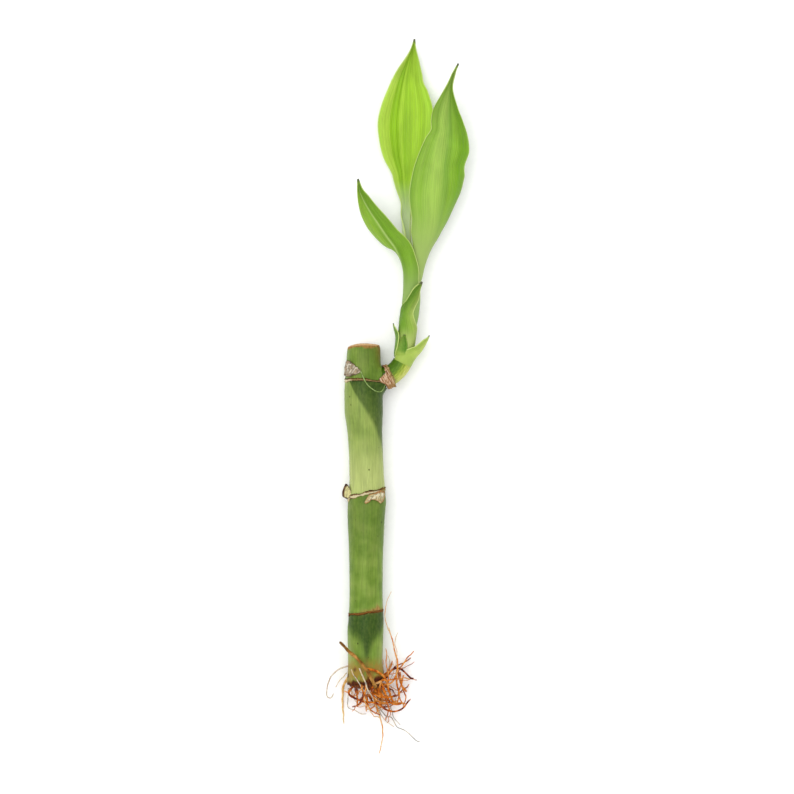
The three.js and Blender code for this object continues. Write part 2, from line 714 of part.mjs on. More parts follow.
let rootClump = toSolid(crown);
for (const path of STOUT_ROOTS) {
  rootClump = rootClump.add(toSolid(rootTube(path, ROOT_RADIUS, THIN_ROOT_RADIUS)));
}
rootClump = rootClump.subtract(caneSkin(GAP).subtract(pastBase(GAP)));
rootClump = rootClump.subtract(belowFloor);
// Scraps that the cut leaves loose are dropped
const largest = (kept, part) => (part.volume() > kept.volume() ? part : kept);
addPiece("roots", toGeometry(rootClump.decompose().reduce(largest)), ROOT_ORANGE);

// The pale young roots
const YOUNG_ROOTS = [
  [[-6.8, -54.8, 6.8], [-9.4, -55.8, 6.4], [-12.0, -58.6, 4.6], [-13.3, -62.8, 2.4], [-12.6, -66.2, 1.2]],
  [[-6.4, -59.6, 3.2], [-8.2, -62.0, 2.0], [-8.6, -66.0, 1.0], [-8.4, -70.0, 0.8], [-7.6, -74.6, 0.8]],
];
YOUNG_ROOTS.forEach((path, i) => {
  addPiece(`young_root_${i + 1}`, rootTube(path, YOUNG_ROOT_RADIUS, YOUNG_ROOT_TIP_RADIUS), YOUNG_ROOT_CREAM);
});

export default plant;
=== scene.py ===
# One rooted cutting of lucky bamboo, lying on a pale floor and seen from straight above.
import math
import bpy
import numpy as np
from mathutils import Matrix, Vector


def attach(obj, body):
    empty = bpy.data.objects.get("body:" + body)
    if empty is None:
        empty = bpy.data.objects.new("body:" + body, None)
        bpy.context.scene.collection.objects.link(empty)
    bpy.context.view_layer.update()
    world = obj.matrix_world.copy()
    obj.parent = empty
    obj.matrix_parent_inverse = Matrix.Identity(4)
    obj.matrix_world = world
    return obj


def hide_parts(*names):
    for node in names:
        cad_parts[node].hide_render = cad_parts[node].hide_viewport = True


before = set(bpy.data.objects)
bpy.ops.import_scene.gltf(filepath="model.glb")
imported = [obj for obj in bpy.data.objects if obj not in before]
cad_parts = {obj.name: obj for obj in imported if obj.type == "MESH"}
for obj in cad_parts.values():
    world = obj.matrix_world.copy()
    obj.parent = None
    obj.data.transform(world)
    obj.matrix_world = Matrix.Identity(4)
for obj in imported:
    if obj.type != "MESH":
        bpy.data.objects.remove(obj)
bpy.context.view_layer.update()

# Driving dimensions, in millimetres as in the CAD model
MM = 0.001
CANE_TOP = 52.9
CANE_BASE = -60.1
BASE_CUT_TILT = 9.5
CROWN_RADIUS = 5.6
CROWN_DEPTH = 3.6
CALLUS_DEPTH = 2.7
ROOT_RADIUS = 0.75
UP = np.array([0.0, 0.0, 1.0])
TURN = 2 * math.pi


# Small maths helpers
def unit(vectors):
    return vectors / np.maximum(np.linalg.norm(vectors, axis=-1, keepdims=True), 1e-12)


def smoothstep(values, low, high):
    share = np.clip((np.asarray(values, float) - low) / (high - low), 0, 1)
    return share * share * (3 - 2 * share)


def bell(values, centre, width):
    return np.exp(-(((values - centre) / width) ** 2))


def lerp(start, end, share):
    return start + (end - start) * share


def around(count):
    return np.arange(count) * TURN / count


def soft_noise(u, v, columns, rows, seed):
    """Smooth values from -1 to 1 over u and v in 0 to 1, on a seeded grid that wraps round in u."""
    grid = np.random.default_rng(seed).uniform(-1, 1, (columns, rows + 2))
    a = np.asarray(u, float) * columns
    b = np.clip(v, 0, 1) * rows
    i = np.floor(a).astype(int)
    j = np.floor(b).astype(int)
    fa = smoothstep(a - i, 0, 1)
    fb = smoothstep(b - j, 0, 1)
    near = lerp(grid[i % columns, j], grid[(i + 1) % columns, j], fa)
    far = lerp(grid[i % columns, j + 1], grid[(i + 1) % columns, j + 1], fa)
    return lerp(near, far, fb)


def curve_points(points, shares, chordal=True):
    """Points on the same smooth curve through given points as in the CAD model."""
    points = np.asarray(points, float)
    last = len(points) - 1
    place = np.clip(np.asarray(shares, float), 0, 1) * last
    start = np.minimum(place.astype(int), last - 1)
    weight = (place - start)[:, None]
    padded = np.vstack([2 * points[0] - points[1], points, 2 * points[-1] - points[-2]])
    p0, p1, p2, p3 = (padded[start + k] for k in range(4))
    if chordal:
        gap = [np.sqrt(np.linalg.norm(b - a, axis=1))[:, None] for a, b in ((p0, p1), (p1, p2), (p2, p3))]
        t1 = ((p1 - p0) / gap[0] - (p2 - p0) / (gap[0] + gap[1]) + (p2 - p1) / gap[1]) * gap[1]
        t2 = ((p2 - p1) / gap[1] - (p3 - p1) / (gap[1] + gap[2]) + (p3 - p2) / gap[2]) * gap[1]
    else:
        t1 = 0.5 * (p2 - p0)
        t2 = 0.5 * (p3 - p1)
    square = 3 * (p2 - p1) - 2 * t1 - t2
    cube = 2 * (p1 - p2) + t1 + t2
    return p1 + weight * (t1 + weight * (square + weight * cube))


def curve_directions(points, shares):
    late = np.clip(np.asarray(shares) + 1e-4, 0, 1)
    early = np.clip(np.asarray(shares) - 1e-4, 0, 1)
    return unit(curve_points(points, late) - curve_points(points, early))


def even_points(points, count):
    fine = curve_points(points, np.linspace(0, 1, 600))
    lengths = np.concatenate([[0], np.cumsum(np.linalg.norm(np.diff(fine, axis=0), axis=1))])
    wanted = np.linspace(0, lengths[-1], count)
    return np.stack([np.interp(wanted, lengths, fine[:, k]) for k in range(3)], axis=1), lengths[-1]


# Meshes
def add_piece(name, points, faces, material, slot, replaced=None, values=None):
    mesh = bpy.data.meshes.new(name)
    mesh.from_pydata((np.asarray(points) * MM).tolist(), [], faces)
    mesh.update()
    for key, numbers in (values or {}).items():
        layer = mesh.attributes.new(key, "FLOAT", "POINT")
        layer.data.foreach_set("value", np.asarray(numbers, np.float32).ravel())
    mesh.materials.append(material)
    mesh.shade_smooth()
    piece = bpy.data.objects.new(name, mesh)
    bpy.context.scene.collection.objects.link(piece)
    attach(piece, "root")
    if replaced:
        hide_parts(replaced)
    return piece


def grid_faces(rows, columns, close_rows=False, close_columns=True, first=0):
    """Quads over a grid of points, which may join up with itself either way."""
    index = first + np.arange(rows * columns).reshape(rows, columns)
    if close_rows:
        index = np.vstack([index, index[:1]])
    if close_columns:
        index = np.hstack([index, index[:, :1]])
    quads = np.stack([index[:-1, :-1], index[:-1, 1:], index[1:, 1:], index[1:, :-1]], axis=-1)
    return quads.reshape(-1, 4)


def closed_tube(rings, first=0):
    """A skin over rings of points. Each end closes in a fan round one added point."""
    rows, sides, _ = rings.shape
    faces = grid_faces(rows, sides, first=first).tolist()
    start = first + rows * sides
    top = start - sides
    for k in range(sides):
        step = (k + 1) % sides
        faces.append((start, first + step, first + k))
        faces.append((start + 1, top + k, top + step))
    points = np.vstack([rings.reshape(-1, 3), rings[0].mean(axis=0), rings[-1].mean(axis=0)])
    return points, faces


def closed_sheet(middle, normal, thickness):
    """Two faces a thickness apart round a grid of middle points, closed by a rim."""
    lengths, widths = middle.shape[:2]
    half = np.broadcast_to(thickness, (lengths, widths))[..., None] / 2
    points = np.vstack([(middle + normal * half).reshape(-1, 3), (middle - normal * half).reshape(-1, 3)])
    other = lengths * widths
    front = grid_faces(lengths, widths, close_columns=False)
    back = front[:, [0, 3, 2, 1]] + other
    faces = np.stack([front, back], axis=1).reshape(-1, 4).tolist()
    index = np.arange(other).reshape(lengths, widths)
    rim = np.concatenate([index[0, :-1], index[:-1, -1], index[-1, :0:-1], index[:0:-1, 0]]).tolist()
    faces += [(a, a + other, b + other, b) for a, b in zip(rim, rim[1:] + rim[:1])]
    return points, faces


def both_sides(grid):
    """A grid's values, then the same values from its far edge back, for a skin that folds round an edge."""
    return np.concatenate([grid, grid[:, ::-1]], axis=1)


def carried_frames(path):
    """A frame that is carried along a path without twisting."""
    ahead = unit(np.gradient(path, axis=0))
    across = np.empty_like(path)
    start = UP if abs(ahead[0] @ UP) < 0.9 else np.array([1.0, 0.0, 0.0])
    across[0] = unit(np.cross(ahead[0], start))
    for i in range(1, len(path)):
        across[i] = unit(across[i - 1] - ahead[i] * (across[i - 1] @ ahead[i]))
    return ahead, across, np.cross(ahead, across)


def round_rings(path, reach):
    """Rings of points round a path, with a reach for each point of each ring."""
    _, across, over = carried_frames(path)
    angles = around(reach.shape[1])
    aside = across[:, None] * (reach * np.cos(angles))[..., None]
    return path[:, None] + aside + over[:, None] * (reach * np.sin(angles))[..., None]


# Node materials
# Colours are given as they look under the studio light, which is a little over full so that the floor
# is white. The paint under the gloss is darker by what the light and the gloss add.
LIGHT_GAIN = 1.24
GLOSS_LIFT = 0.105


def linear(colour, specular):
    shares = [c / 255 for c in colour]
    values = [s / 12.92 if s <= 0.04045 else ((s + 0.055) / 1.055) ** 2.4 for s in shares]
    return tuple(max(value / LIGHT_GAIN - GLOSS_LIFT * specular, 0.001) for value in values) + (1.0,)


class Paint:
    """Builds one material's nodes, from the base colour down to the bump."""

    def __init__(self, name, roughness, specular, subsurface=0.0, sheen=0.0):
        self.material = bpy.data.materials.new(name)
        self.material.use_nodes = True
        self.tree = self.material.node_tree
        self.shader = self.tree.nodes["Principled BSDF"]
        self.specular = specular
        self.shader.inputs["Roughness"].default_value = roughness
        self.shader.inputs["Specular IOR Level"].default_value = specular
        self.shader.inputs["Sheen Weight"].default_value = sheen
        self.shader.inputs["Subsurface Weight"].default_value = subsurface
        self.shader.inputs["Subsurface Radius"].default_value = (0.6, 1.0, 0.3)
        self.shader.inputs["Subsurface Scale"].default_value = MM

    def feed(self, socket, value):
        if hasattr(value, "is_output"):
            self.tree.links.new(value, socket)
        else:
            socket.default_value = value

    def node(self, kind, inputs, **settings):
        made = self.tree.nodes.new("ShaderNode" + kind)
        for key, value in settings.items():
            setattr(made, key, value)
        for key, value in inputs.items():
            self.feed(made.inputs[key], value)
        return made

    def attribute(self, name):
        return self.node("Attribute", {}, attribute_name=name).outputs["Fac"]

    def spot(self):
        return self.node("TexCoord", {}).outputs["Object"]

    def along_y(self):
        return self.node("SeparateXYZ", {"Vector": self.spot()}).outputs["Y"]

    def place(self, squeeze=(1, 1, 1), turn=0.0):
        turned = self.node("Mapping", {"Vector": self.spot(), "Rotation": (0, 0, turn)}).outputs["Vector"]
        return self.node("Mapping", {"Vector": turned, "Scale": [s / MM for s in squeeze]}).outputs["Vector"]

    def vector(self, x, y, z=0.0):
        return self.node("CombineXYZ", {"X": x, "Y": y, "Z": z}).outputs["Vector"]

    def noise(self, scale, detail=3.0, roughness=0.55, distortion=0.0, squeeze=(1, 1, 1), turn=0.0, at=None):
        """Noise at each place on the object in millimetres, or at a vector."""
        vector = self.place(squeeze, turn) if at is None else at
        inputs = {"Vector": vector, "Scale": scale, "Detail": detail, "Roughness": roughness}
        return self.node("TexNoise", {**inputs, "Distortion": distortion}).outputs["Fac"]

    def cells(self, scale, squeeze=(1, 1, 1)):
        return self.node("TexVoronoi", {"Vector": self.place(squeeze), "Scale": scale}).outputs["Distance"]

    def maths(self, operation, a, b=0.0):
        return self.node("Math", {0: a, 1: b}, operation=operation).outputs[0]

    def add(self, a, b):
        return self.maths("ADD", a, b)

    def times(self, a, b):
        return self.maths("MULTIPLY", a, b)

    def band(self, value, low, high, start=0.0, end=1.0):
        inputs = {"Value": value, "From Min": low, "From Max": high, "To Min": start, "To Max": end}
        return self.node("MapRange", inputs, interpolation_type="SMOOTHSTEP").outputs["Result"]

    def ramp(self, value, stops):
        made = self.node("ValToRGB", {"Fac": value})
        elements = made.color_ramp.elements
        first, *middle, last = stops
        elements[0].position = first
        elements[-1].position = last
        elements[0].color = linear(stops[first], self.specular)
        elements[-1].color = linear(stops[last], self.specular)
        for place in middle:
            elements.new(place).color = linear(stops[place], self.specular)
        return made.outputs["Color"]

    def mix(self, factor, a, b, blend="MIX"):
        a, b = (c if hasattr(c, "is_output") else linear(c, self.specular) for c in (a, b))
        return self.node("Mix", {"Factor": factor, 6: a, 7: b}, data_type="RGBA", blend_type=blend).outputs[2]

    def scale(self, colour, factor):
        return self.mix(1.0, colour, self.vector(factor, factor, factor), "MULTIPLY")

    def shade(self, colour, value, low, high):
        """Makes a colour darker and lighter between two shares, as a value goes from 0 to 1."""
        return self.scale(colour, self.band(value, 0.25, 0.75, low, high))

    def finish(self, colour, height=None, depth=0.1, roughness=None):
        self.feed(self.shader.inputs["Base Color"], colour)
        if roughness is not None:
            self.feed(self.shader.inputs["Roughness"], roughness)
        if height is not None:
            bump = self.node("Bump", {"Strength": 1.0, "Distance": depth * MM, "Height": height})
            self.feed(self.shader.inputs["Normal"], bump.outputs["Normal"])
        return self.material


# Cane
# Rows from base to top: place along Y, then the centre line's X and Z, then the radius
CANE_ROWS = np.array([
    [-62.5, -0.1, 6.1, 6.3], [-59.6, -0.1, 6.1, 6.3], [-53.2, -0.3, 6.1, 5.75], [-42.4, -0.2, 6.1, 6.1],
    [-38.4, 0.0, 6.1, 5.95], [-34.4, 0.0, 6.1, 5.6], [-26.4, 0.0, 6.15, 5.55], [-15.6, 0.0, 6.2, 5.75],
    [-3.6, 0.05, 6.2, 6.3], [0.5, 0.3, 6.2, 6.5], [3.6, 0.3, 6.2, 6.1], [7.2, 0.3, 6.2, 5.85],
    [15.6, 0.0, 6.2, 5.65], [23.6, -0.4, 6.2, 5.85], [30.0, -0.8, 6.2, 6.45], [37.6, -0.9, 6.2, 6.45],
    [41.6, -0.9, 6.2, 6.15], [46.0, -0.9, 6.2, 5.85], [51.6, -0.75, 6.2, 5.55], [52.9, -0.7, 6.2, 5.45],
])
ROW_SMOOTHING = 0.9
FINE_STEP = 0.2
FINE_MARGIN = 4.0
CANE_SIDES = 160
CANE_STEP = 0.42


def smooth_rows():
    """The cane's rows at fine steps and smoothed: places along Y, then X, Z and radius."""
    along = np.arange(CANE_ROWS[0, 0] - FINE_MARGIN, CANE_ROWS[-1, 0] + FINE_MARGIN, FINE_STEP)
    kernel = bell(np.arange(-FINE_MARGIN, FINE_MARGIN + 0.01, FINE_STEP), 0, ROW_SMOOTHING * math.sqrt(2))
    kernel /= kernel.sum()
    inner = slice(len(kernel) // 2, -(len(kernel) // 2))
    columns = [np.interp(along, CANE_ROWS[:, 0], CANE_ROWS[:, k]) for k in (1, 2, 3)]
    return along[inner], [np.convolve(column, kernel, "same")[inner] for column in columns]


FINE_ALONG, FINE_COLUMNS = smooth_rows()


def cane_at(along):
    return [np.interp(along, FINE_ALONG, column) for column in FINE_COLUMNS]


# The dry rings at the joints: place along the cane, slant in degrees, height over the skin, half width,
# seed, dip toward the shoot, where the cream stretch starts in half turns, and the stops of colour from
# the lower edge to the upper
RINGS = {
    "scar_ring_top": {
        "along": 41.4, "slant": 1.0, "height": 0.3, "half": 0.43, "seed": 1, "dip": 0.9, "cream_from": 0.7,
        # The top ring's darkest stop, at its lower edge, is painted shadow under the ring's raised lip.
        "stops": {0.1: (46, 48, 28), 0.35: (104, 90, 58), 0.6: (168, 142, 98), 0.75: (116, 88, 56),
                  0.9: (88, 64, 40)},
    },
    "scar_ring_middle": {
        "along": 3.3, "slant": 13.5, "height": 0.45, "half": 0.56, "seed": 4, "dip": 0, "cream_from": 0.25,
        "stops": {0.1: (158, 138, 84), 0.3: (194, 178, 118), 0.55: (150, 124, 72), 0.85: (108, 80, 44)},
    },
    "scar_ring_lower": {
        "along": -36.8, "slant": 6.4, "height": 0.24, "half": 0.36, "seed": 7, "dip": 0, "cream_from": 1.2,
        "stops": {0.1: (78, 52, 24), 0.4: (116, 74, 36), 0.65: (152, 108, 60), 0.9: (88, 54, 26)},
    },
}


def turned_from(angles, peak):
    return np.abs((angles - peak + math.pi) % TURN - math.pi)


def ring_line(ring, angles):
    """The place along Y of a ring's middle, at each angle round the cane."""
    _, _, radius = cane_at(ring["along"])
    line = ring["along"] + math.tan(math.radians(ring["slant"])) * radius * np.cos(angles)
    return line - ring["dip"] * bell(turned_from(angles, 0.6), 0, 0.6)


# The boss on the cane's right side, where the shoot grows, ends at a flat joint
JOINT = np.array([7.2, 42.4, 6.5])
JOINT_FORWARD = unit(np.array([0.9, 0.44, 0.02]))
BOSS_START = np.array([-0.5, 38.8, 6.3])
BOSS_END = np.array([8.9, 43.2, 6.5])
BOSS_FOOT_RADIUS = 4.7
BOSS_RADIUS = 3.4
BOSS_BLEND = 1.6
BOSS_REACH = 5.0
BOSS_STEP = 0.05


def joined_field(points):
    """How far points are outside the cane and its boss, which are blended where they meet."""
    x, z, radius = cane_at(points[..., 1])
    cane = np.hypot(points[..., 0] - x, points[..., 2] - z) - radius
    length = np.linalg.norm(BOSS_END - BOSS_START)
    axis = (BOSS_END - BOSS_START) / length
    from_start = points - BOSS_START
    along = from_start @ axis
    aside = np.linalg.norm(from_start - along[..., None] * axis, axis=-1)
    boss = aside - lerp(BOSS_FOOT_RADIUS, BOSS_RADIUS, np.clip(along / length, 0, 1))
    overlap = np.maximum(BOSS_BLEND - np.abs(cane - boss), 0) / BOSS_BLEND
    return np.minimum(cane, boss) - overlap * overlap * BOSS_BLEND / 4


def push_out_boss(skin):
    """Moves the skin beside the boss along its axis, until it stands on the boss."""
    near = (np.abs(skin[..., 1] - 42) < 9) & (skin[..., 0] > -1)
    points = skin[near]
    moved = np.zeros(len(points))
    for _ in range(int(BOSS_REACH / BOSS_STEP)):
        inside = joined_field(points + JOINT_FORWARD * moved[:, None]) < -0.01
        moved[inside] += BOSS_STEP
    limit = np.maximum((JOINT - points) @ JOINT_FORWARD, 0)
    shift = np.zeros(skin.shape[:2])
    shift[near] = np.where(moved >= BOSS_REACH - 2 * BOSS_STEP, 0, np.minimum(moved, limit))
    for _ in range(3):
        beside = np.roll(shift, 1, 0) + np.roll(shift, -1, 0) + np.roll(shift, 1, 1) + np.roll(shift, -1, 1)
        shift = lerp(shift, beside / 4, 0.5)
    return skin + shift[..., None] * JOINT_FORWARD, shift


def cane_stations():
    """Rows of place along Y and share of the radius, from the middle of the base to that of the top."""
    base = [(0.35, share) for share in (0.05, 0.2, 0.4, 0.6, 0.78)]
    base += [(0.2, 0.88), (0, 0.94), (0, 0.97), (0.2, 0.992)]
    skin = [(y, 1.0) for y in np.arange(CANE_BASE + 0.5, CANE_TOP - 0.9, CANE_STEP)]
    top = [(-0.6, 1.0), (-0.35, 0.998), (-0.12, 0.99), (0.06, 0.975)]
    top += [(0.14, 0.955), (0.12, 0.93), (0.04, 0.9)]
    top += [(0.05, share) for share in (0.85, 0.8, 0.7, 0.6, 0.48, 0.36, 0.24, 0.12, 0.03)]
    ends = [[(end + y, share) for y, share in rows] for end, rows in ((CANE_BASE, base), (CANE_TOP, top))]
    return np.array(ends[0] + skin + ends[1])


def rim_rise(angles):
    """How much higher or lower than its middle the top cut is, at each angle round its rim."""
    return 0.3 - 0.42 * np.sin(angles) - (0.64 - 0.34 * np.cos(angles)) * np.cos(angles) ** 2


# Dark chevrons under the top and the lower ring: angle of the point, its depth, and half width as an angle
CHEVRON_TOP = {"peak": 0.03, "depth": 24.6, "half_width": 2.36}
CHEVRON_LOWER = {"peak": 1.46, "depth": 13.5, "half_width": 2.0}
# Brown spots where roots break through the skin: angle round the cane, place along Y
ROOT_STUBS = [(2.86, -57.0), (2.2, -55.2), (1.36, -58.6), (0.6, -59.4), (2.75, -60.0), (0.15, -57.6)]
STUB_RADIUS = 0.75
# The stretch along Y that the noise of the skin's marks is laid over
MARKS_START = -65
MARKS_LENGTH = 120


def skin_noise(angles, y, columns, rows, seed):
    return soft_noise(angles / TURN, (y - MARKS_START) / MARKS_LENGTH, columns, rows, seed)


def cane_marks(angles, y):
    """How far each point of the skin is dark, and how far it is pale, from 0 to 1."""
    ragged = skin_noise(angles, y, 46, 30, 21)
    fine = skin_noise(angles, y, 90, 24, 22)
    top_line, middle_line, lower_line = (ring_line(ring, angles) for ring in RINGS.values())
    aside = turned_from(angles, CHEVRON_TOP["peak"]) / CHEVRON_TOP["half_width"]
    below = (top_line - y) / (CHEVRON_TOP["depth"] * np.clip(1.03 - aside, 0.02, 1))
    chevron = 1 - smoothstep(below + 0.03 * ragged + 0.012 * fine, 0.82, 1.1)
    chevron = chevron * smoothstep(below, -0.02, 0.01) * lerp(1, 0.8, smoothstep(below, 0.1, 0.9))
    aside = turned_from(angles, CHEVRON_LOWER["peak"])
    depth = CHEVRON_LOWER["depth"] * np.clip(1 - aside / CHEVRON_LOWER["half_width"], 0.1, 1)
    below = (lower_line - y) / (depth + 5 * bell(aside, 0, 0.2))
    lower = (1 - smoothstep(below + 0.06 * ragged + 0.03 * fine, 0.6, 1.2)) * smoothstep(below, -0.02, 0.02)
    weak = 0.34 * (1 - smoothstep((middle_line - y) / 26 + 0.1 * ragged, 0.3, 1.1)) * (y < middle_line)
    stub_shade = 0.3 * bell(turned_from(angles, 1.3), 0, 0.6) * (y > top_line) + 0.12 * smoothstep(y, 44, 50)
    dark = np.maximum.reduce([chevron, lower, weak, stub_shade])
    pallor = lerp(0.3, 1, smoothstep(-y, -25, -7)) * (y > middle_line) * (y < top_line)
    corner = smoothstep(turned_from(angles, 1.5), 0.45, 1.2) * smoothstep(-y, 42, 54) * (y < lower_line)
    return dark, np.clip(np.maximum(pallor, 0.55 * corner * (1 - lower)), 0, 1)


def cane_dryness(angles, y, share):
    """How far each point is dry and brown, and how far it is a cut face, from 0 to 1."""
    ragged = skin_noise(angles, y, 44, 60, 31)
    rim = smoothstep(y + 0.3 * ragged, CANE_TOP - 0.7, CANE_TOP - 0.35)
    corner = bell(turned_from(angles, 0.15), 0, 0.55)
    corner = corner * smoothstep(y + 0.8 * ragged, CANE_TOP - 9, CANE_TOP - 0.5)
    callus = 1 - smoothstep(y + 0.7 * ragged, CANE_BASE + 0.5, CANE_BASE + 1.7)
    above = y - ring_line(RINGS["scar_ring_lower"], angles)
    ends = smoothstep(above / 2.8 + turned_from(angles, 0.85) / 0.75 + 0.2 * ragged, 0.5, 1.1)
    smear = (above > 0) * (1 - ends)
    strip = 0.6 * bell(above, 0.5, 0.7) * smoothstep(-angles, -2.2, -1.6)
    stubs = np.zeros_like(y)
    for stub_angle, stub_along in ROOT_STUBS:
        aside = turned_from(angles, stub_angle) * 6 / STUB_RADIUS
        stub = 1 - smoothstep(np.hypot(aside, (y - stub_along) / STUB_RADIUS), 0.7, 1.1)
        stubs = np.maximum(stubs, stub)
    dry = np.maximum.reduce([rim, 0.7 * corner, callus, 0.95 * smear, strip, 0.85 * stubs])
    return np.clip(dry, 0, 1), smoothstep(1 - share, 0.03, 0.08)


def cane_skin(y, share, angle):
    """Points of the skin and the two cut faces, before the boss is pushed out."""
    turn = angle / TURN
    length = (y - CANE_BASE) / (CANE_TOP - CANE_BASE)
    swell = 0.05 * soft_noise(turn, length, 5, 26, 3) + 0.03 * soft_noise(turn, length, 70, 9, 4)
    swell = swell + 0.02 * soft_noise(turn, length, 80, 60, 5)
    for ring in RINGS.values():
        from_ring = y - ring_line(ring, angle)
        swell = swell - 0.22 * bell(from_ring, 0, ring["half"] * 0.8) - 0.06 * bell(from_ring, -2.2, 0.9)
    corner = 0.2 * bell(turned_from(angle, 0), 0, 0.9) * smoothstep(y, CANE_TOP - 1.2, CANE_TOP)
    x, z, radius = cane_at(y)
    reach = (radius + swell * (share > 0.9) - corner) * share
    face = soft_noise(turn, share, 24, 9, 6) * 0.07 * (share < 0.93)
    face = face + rim_rise(angle) * smoothstep(y, CANE_TOP - 5, CANE_TOP) * share ** 2
    points = np.stack([x + reach * np.cos(angle), y + face, z + reach * np.sin(angle)], axis=-1)
    tilt = math.tan(math.radians(BASE_CUT_TILT)) * (1 - smoothstep(y, CANE_BASE, CANE_BASE + 14))
    points[..., 1] += points[..., 0] * tilt
    return points


def build_cane(material):
    stations = cane_stations()
    y = stations[:, :1] + np.zeros(CANE_SIDES)
    share = stations[:, 1:] + np.zeros(CANE_SIDES)
    angle = around(CANE_SIDES) + np.zeros_like(y)
    skin = cane_skin(y, share, angle)
    points, shift = push_out_boss(skin)
    points[..., 2] = np.maximum(points[..., 2], 0)
    dark, pallor = cane_marks(angle, skin[..., 1])
    dry, cut = cane_dryness(angle, y, share)
    above = smoothstep(skin[..., 1] - ring_line(RINGS["scar_ring_top"], angle), -0.1, 0.3)
    boss = smoothstep(shift, 0.2, 1.6) * above
    values = {"chevron": dark, "pallor": pallor, "dry": dry, "cut": cut, "boss": boss}
    values = {key: np.append(grid.ravel(), [grid[0, 0], grid[-1, 0]]) for key, grid in values.items()}
    return add_piece("cane_skin", *closed_tube(points), material, "cane_skin", "cane", values)


# The place along Y, in metres, above which the tan at the foot of the cane fades
FOOT_LINE = -0.055


def cane_paint():
    paint = Paint("cane_green", roughness=0.45, specular=0.16, subsurface=0.04)
    streaks = paint.noise(1.5, 4.0, 0.6, squeeze=(1, 0.06, 1))
    fine = paint.noise(5.0, 3.0, 0.6, squeeze=(1, 0.04, 1))
    clouds = paint.noise(0.16, 3.0, 0.5)
    mottle = paint.noise(1.3, 4.0, 0.65, squeeze=(1, 0.5, 1))
    green = paint.ramp(clouds, {0.35: (108, 136, 56), 0.5: (122, 148, 66), 0.65: (136, 158, 76)})
    green = paint.mix(paint.attribute("pallor"), green, (178, 190, 116))
    dark = paint.ramp(mottle, {0.35: (60, 84, 36), 0.65: (82, 102, 50)})
    green = paint.mix(paint.attribute("chevron"), green, dark)
    green = paint.mix(paint.attribute("boss"), green, (106, 134, 58))
    green = paint.shade(green, streaks, 0.84, 1.14)
    green = paint.shade(green, fine, 0.93, 1.07)
    specks = paint.band(paint.cells(0.55, squeeze=(1, 0.6, 1)), 0.08, 0.14, 1.0, 0.0)
    scarce = paint.band(paint.noise(0.4, 2.0), 0.55, 0.62)
    green = paint.mix(paint.times(specks, scarce), green, (66, 62, 34))
    above_foot = paint.add(paint.along_y(), -FOOT_LINE)
    tanned = paint.times(paint.band(above_foot, 0.0045, -0.001, 0.0, 0.95), paint.band(mottle, 0.3, 0.52))
    green = paint.mix(tanned, green, (158, 128, 60))
    brown = paint.ramp(mottle, {0.3: (126, 94, 54), 0.5: (160, 122, 74), 0.7: (186, 150, 98)})
    dark_brown = paint.ramp(mottle, {0.3: (48, 26, 18), 0.5: (88, 50, 28), 0.7: (128, 80, 44)})
    dry_brown = paint.mix(paint.band(above_foot, -0.003, 0.003), dark_brown, brown)
    colour = paint.mix(paint.attribute("dry"), green, dry_brown)
    pith = paint.ramp(paint.cells(1.7), {0.1: (158, 116, 76), 0.35: (206, 164, 114), 0.8: (228, 190, 144)})
    colour = paint.mix(paint.attribute("cut"), colour, pith)
    rough = paint.maths("MAXIMUM", paint.attribute("dry"), paint.attribute("cut"))
    height = paint.add(paint.times(streaks, 0.5), paint.times(fine, 0.35))
    height = paint.add(height, paint.times(paint.noise(4.0), 0.25))
    return paint.finish(colour, height, 0.12, paint.band(rough, 0.0, 1.0, 0.4, 0.85))


# Dry rings at the joints, with a raised lip and a ragged edge
RING_SIDES = 320
# Across a ring: place in half widths, and height as a share of the ring's
RING_PROFILE = np.array([
    (-1.25, -0.35), (-1.0, 0.05), (-0.75, 0.5), (-0.4, 0.7), (-0.05, 0.3), (0.2, 0.45),
    (0.5, 0.95), (0.8, 0.9), (1.0, 0.3), (1.15, -0.35), (0.0, -0.9),
])


def build_ring(name, ring, material):
    angles = around(RING_SIDES)

    def uneven(coarse, fine, columns, seed):
        rough = coarse * soft_noise(angles / TURN, 0, columns, 1, ring["seed"] + seed)
        return 1 + rough + fine * soft_noise(angles / TURN, 0, columns * 4, 1, ring["seed"] + seed + 20)

    low_edge = uneven(0.5, 0.2, 19, 0) * (1 + 0.9 * bell(turned_from(angles, 2.95), 0, 0.3))
    high_edge = uneven(0.45, 0.16, 23, 2)
    lift = uneven(0.4, 0.14, 15, 4)
    line = ring_line(ring, angles) + 0.14 * (uneven(1.0, 0.4, 13, 6) - 1)
    place, height = RING_PROFILE.T[:, :, None]
    y = line + place * np.where(place < 0, low_edge, high_edge) * ring["half"]
    x, z, radius = cane_at(y)
    rings = np.stack([x + radius * np.cos(angles), y, z + radius * np.sin(angles)], axis=-1)
    points, shift = push_out_boss(rings)
    outward = np.stack([np.cos(angles), 0 * angles, np.sin(angles)], axis=-1)
    raised = np.where(height > 0, height * lift * ring["height"], height * 0.4)
    points = points + outward * (raised + 0.1 * smoothstep(shift, 0.1, 1))[..., None]
    points[..., 2] = np.maximum(points[..., 2], 0)
    faces = grid_faces(len(RING_PROFILE), RING_SIDES, close_rows=True).tolist()
    values = {"tone": (place + 1.25) / 2.4 + 0 * y, "side": angles / math.pi + 0 * y}
    return add_piece(name + "_bark", points.reshape(-1, 3), faces, material, "scar_bark", name, values)


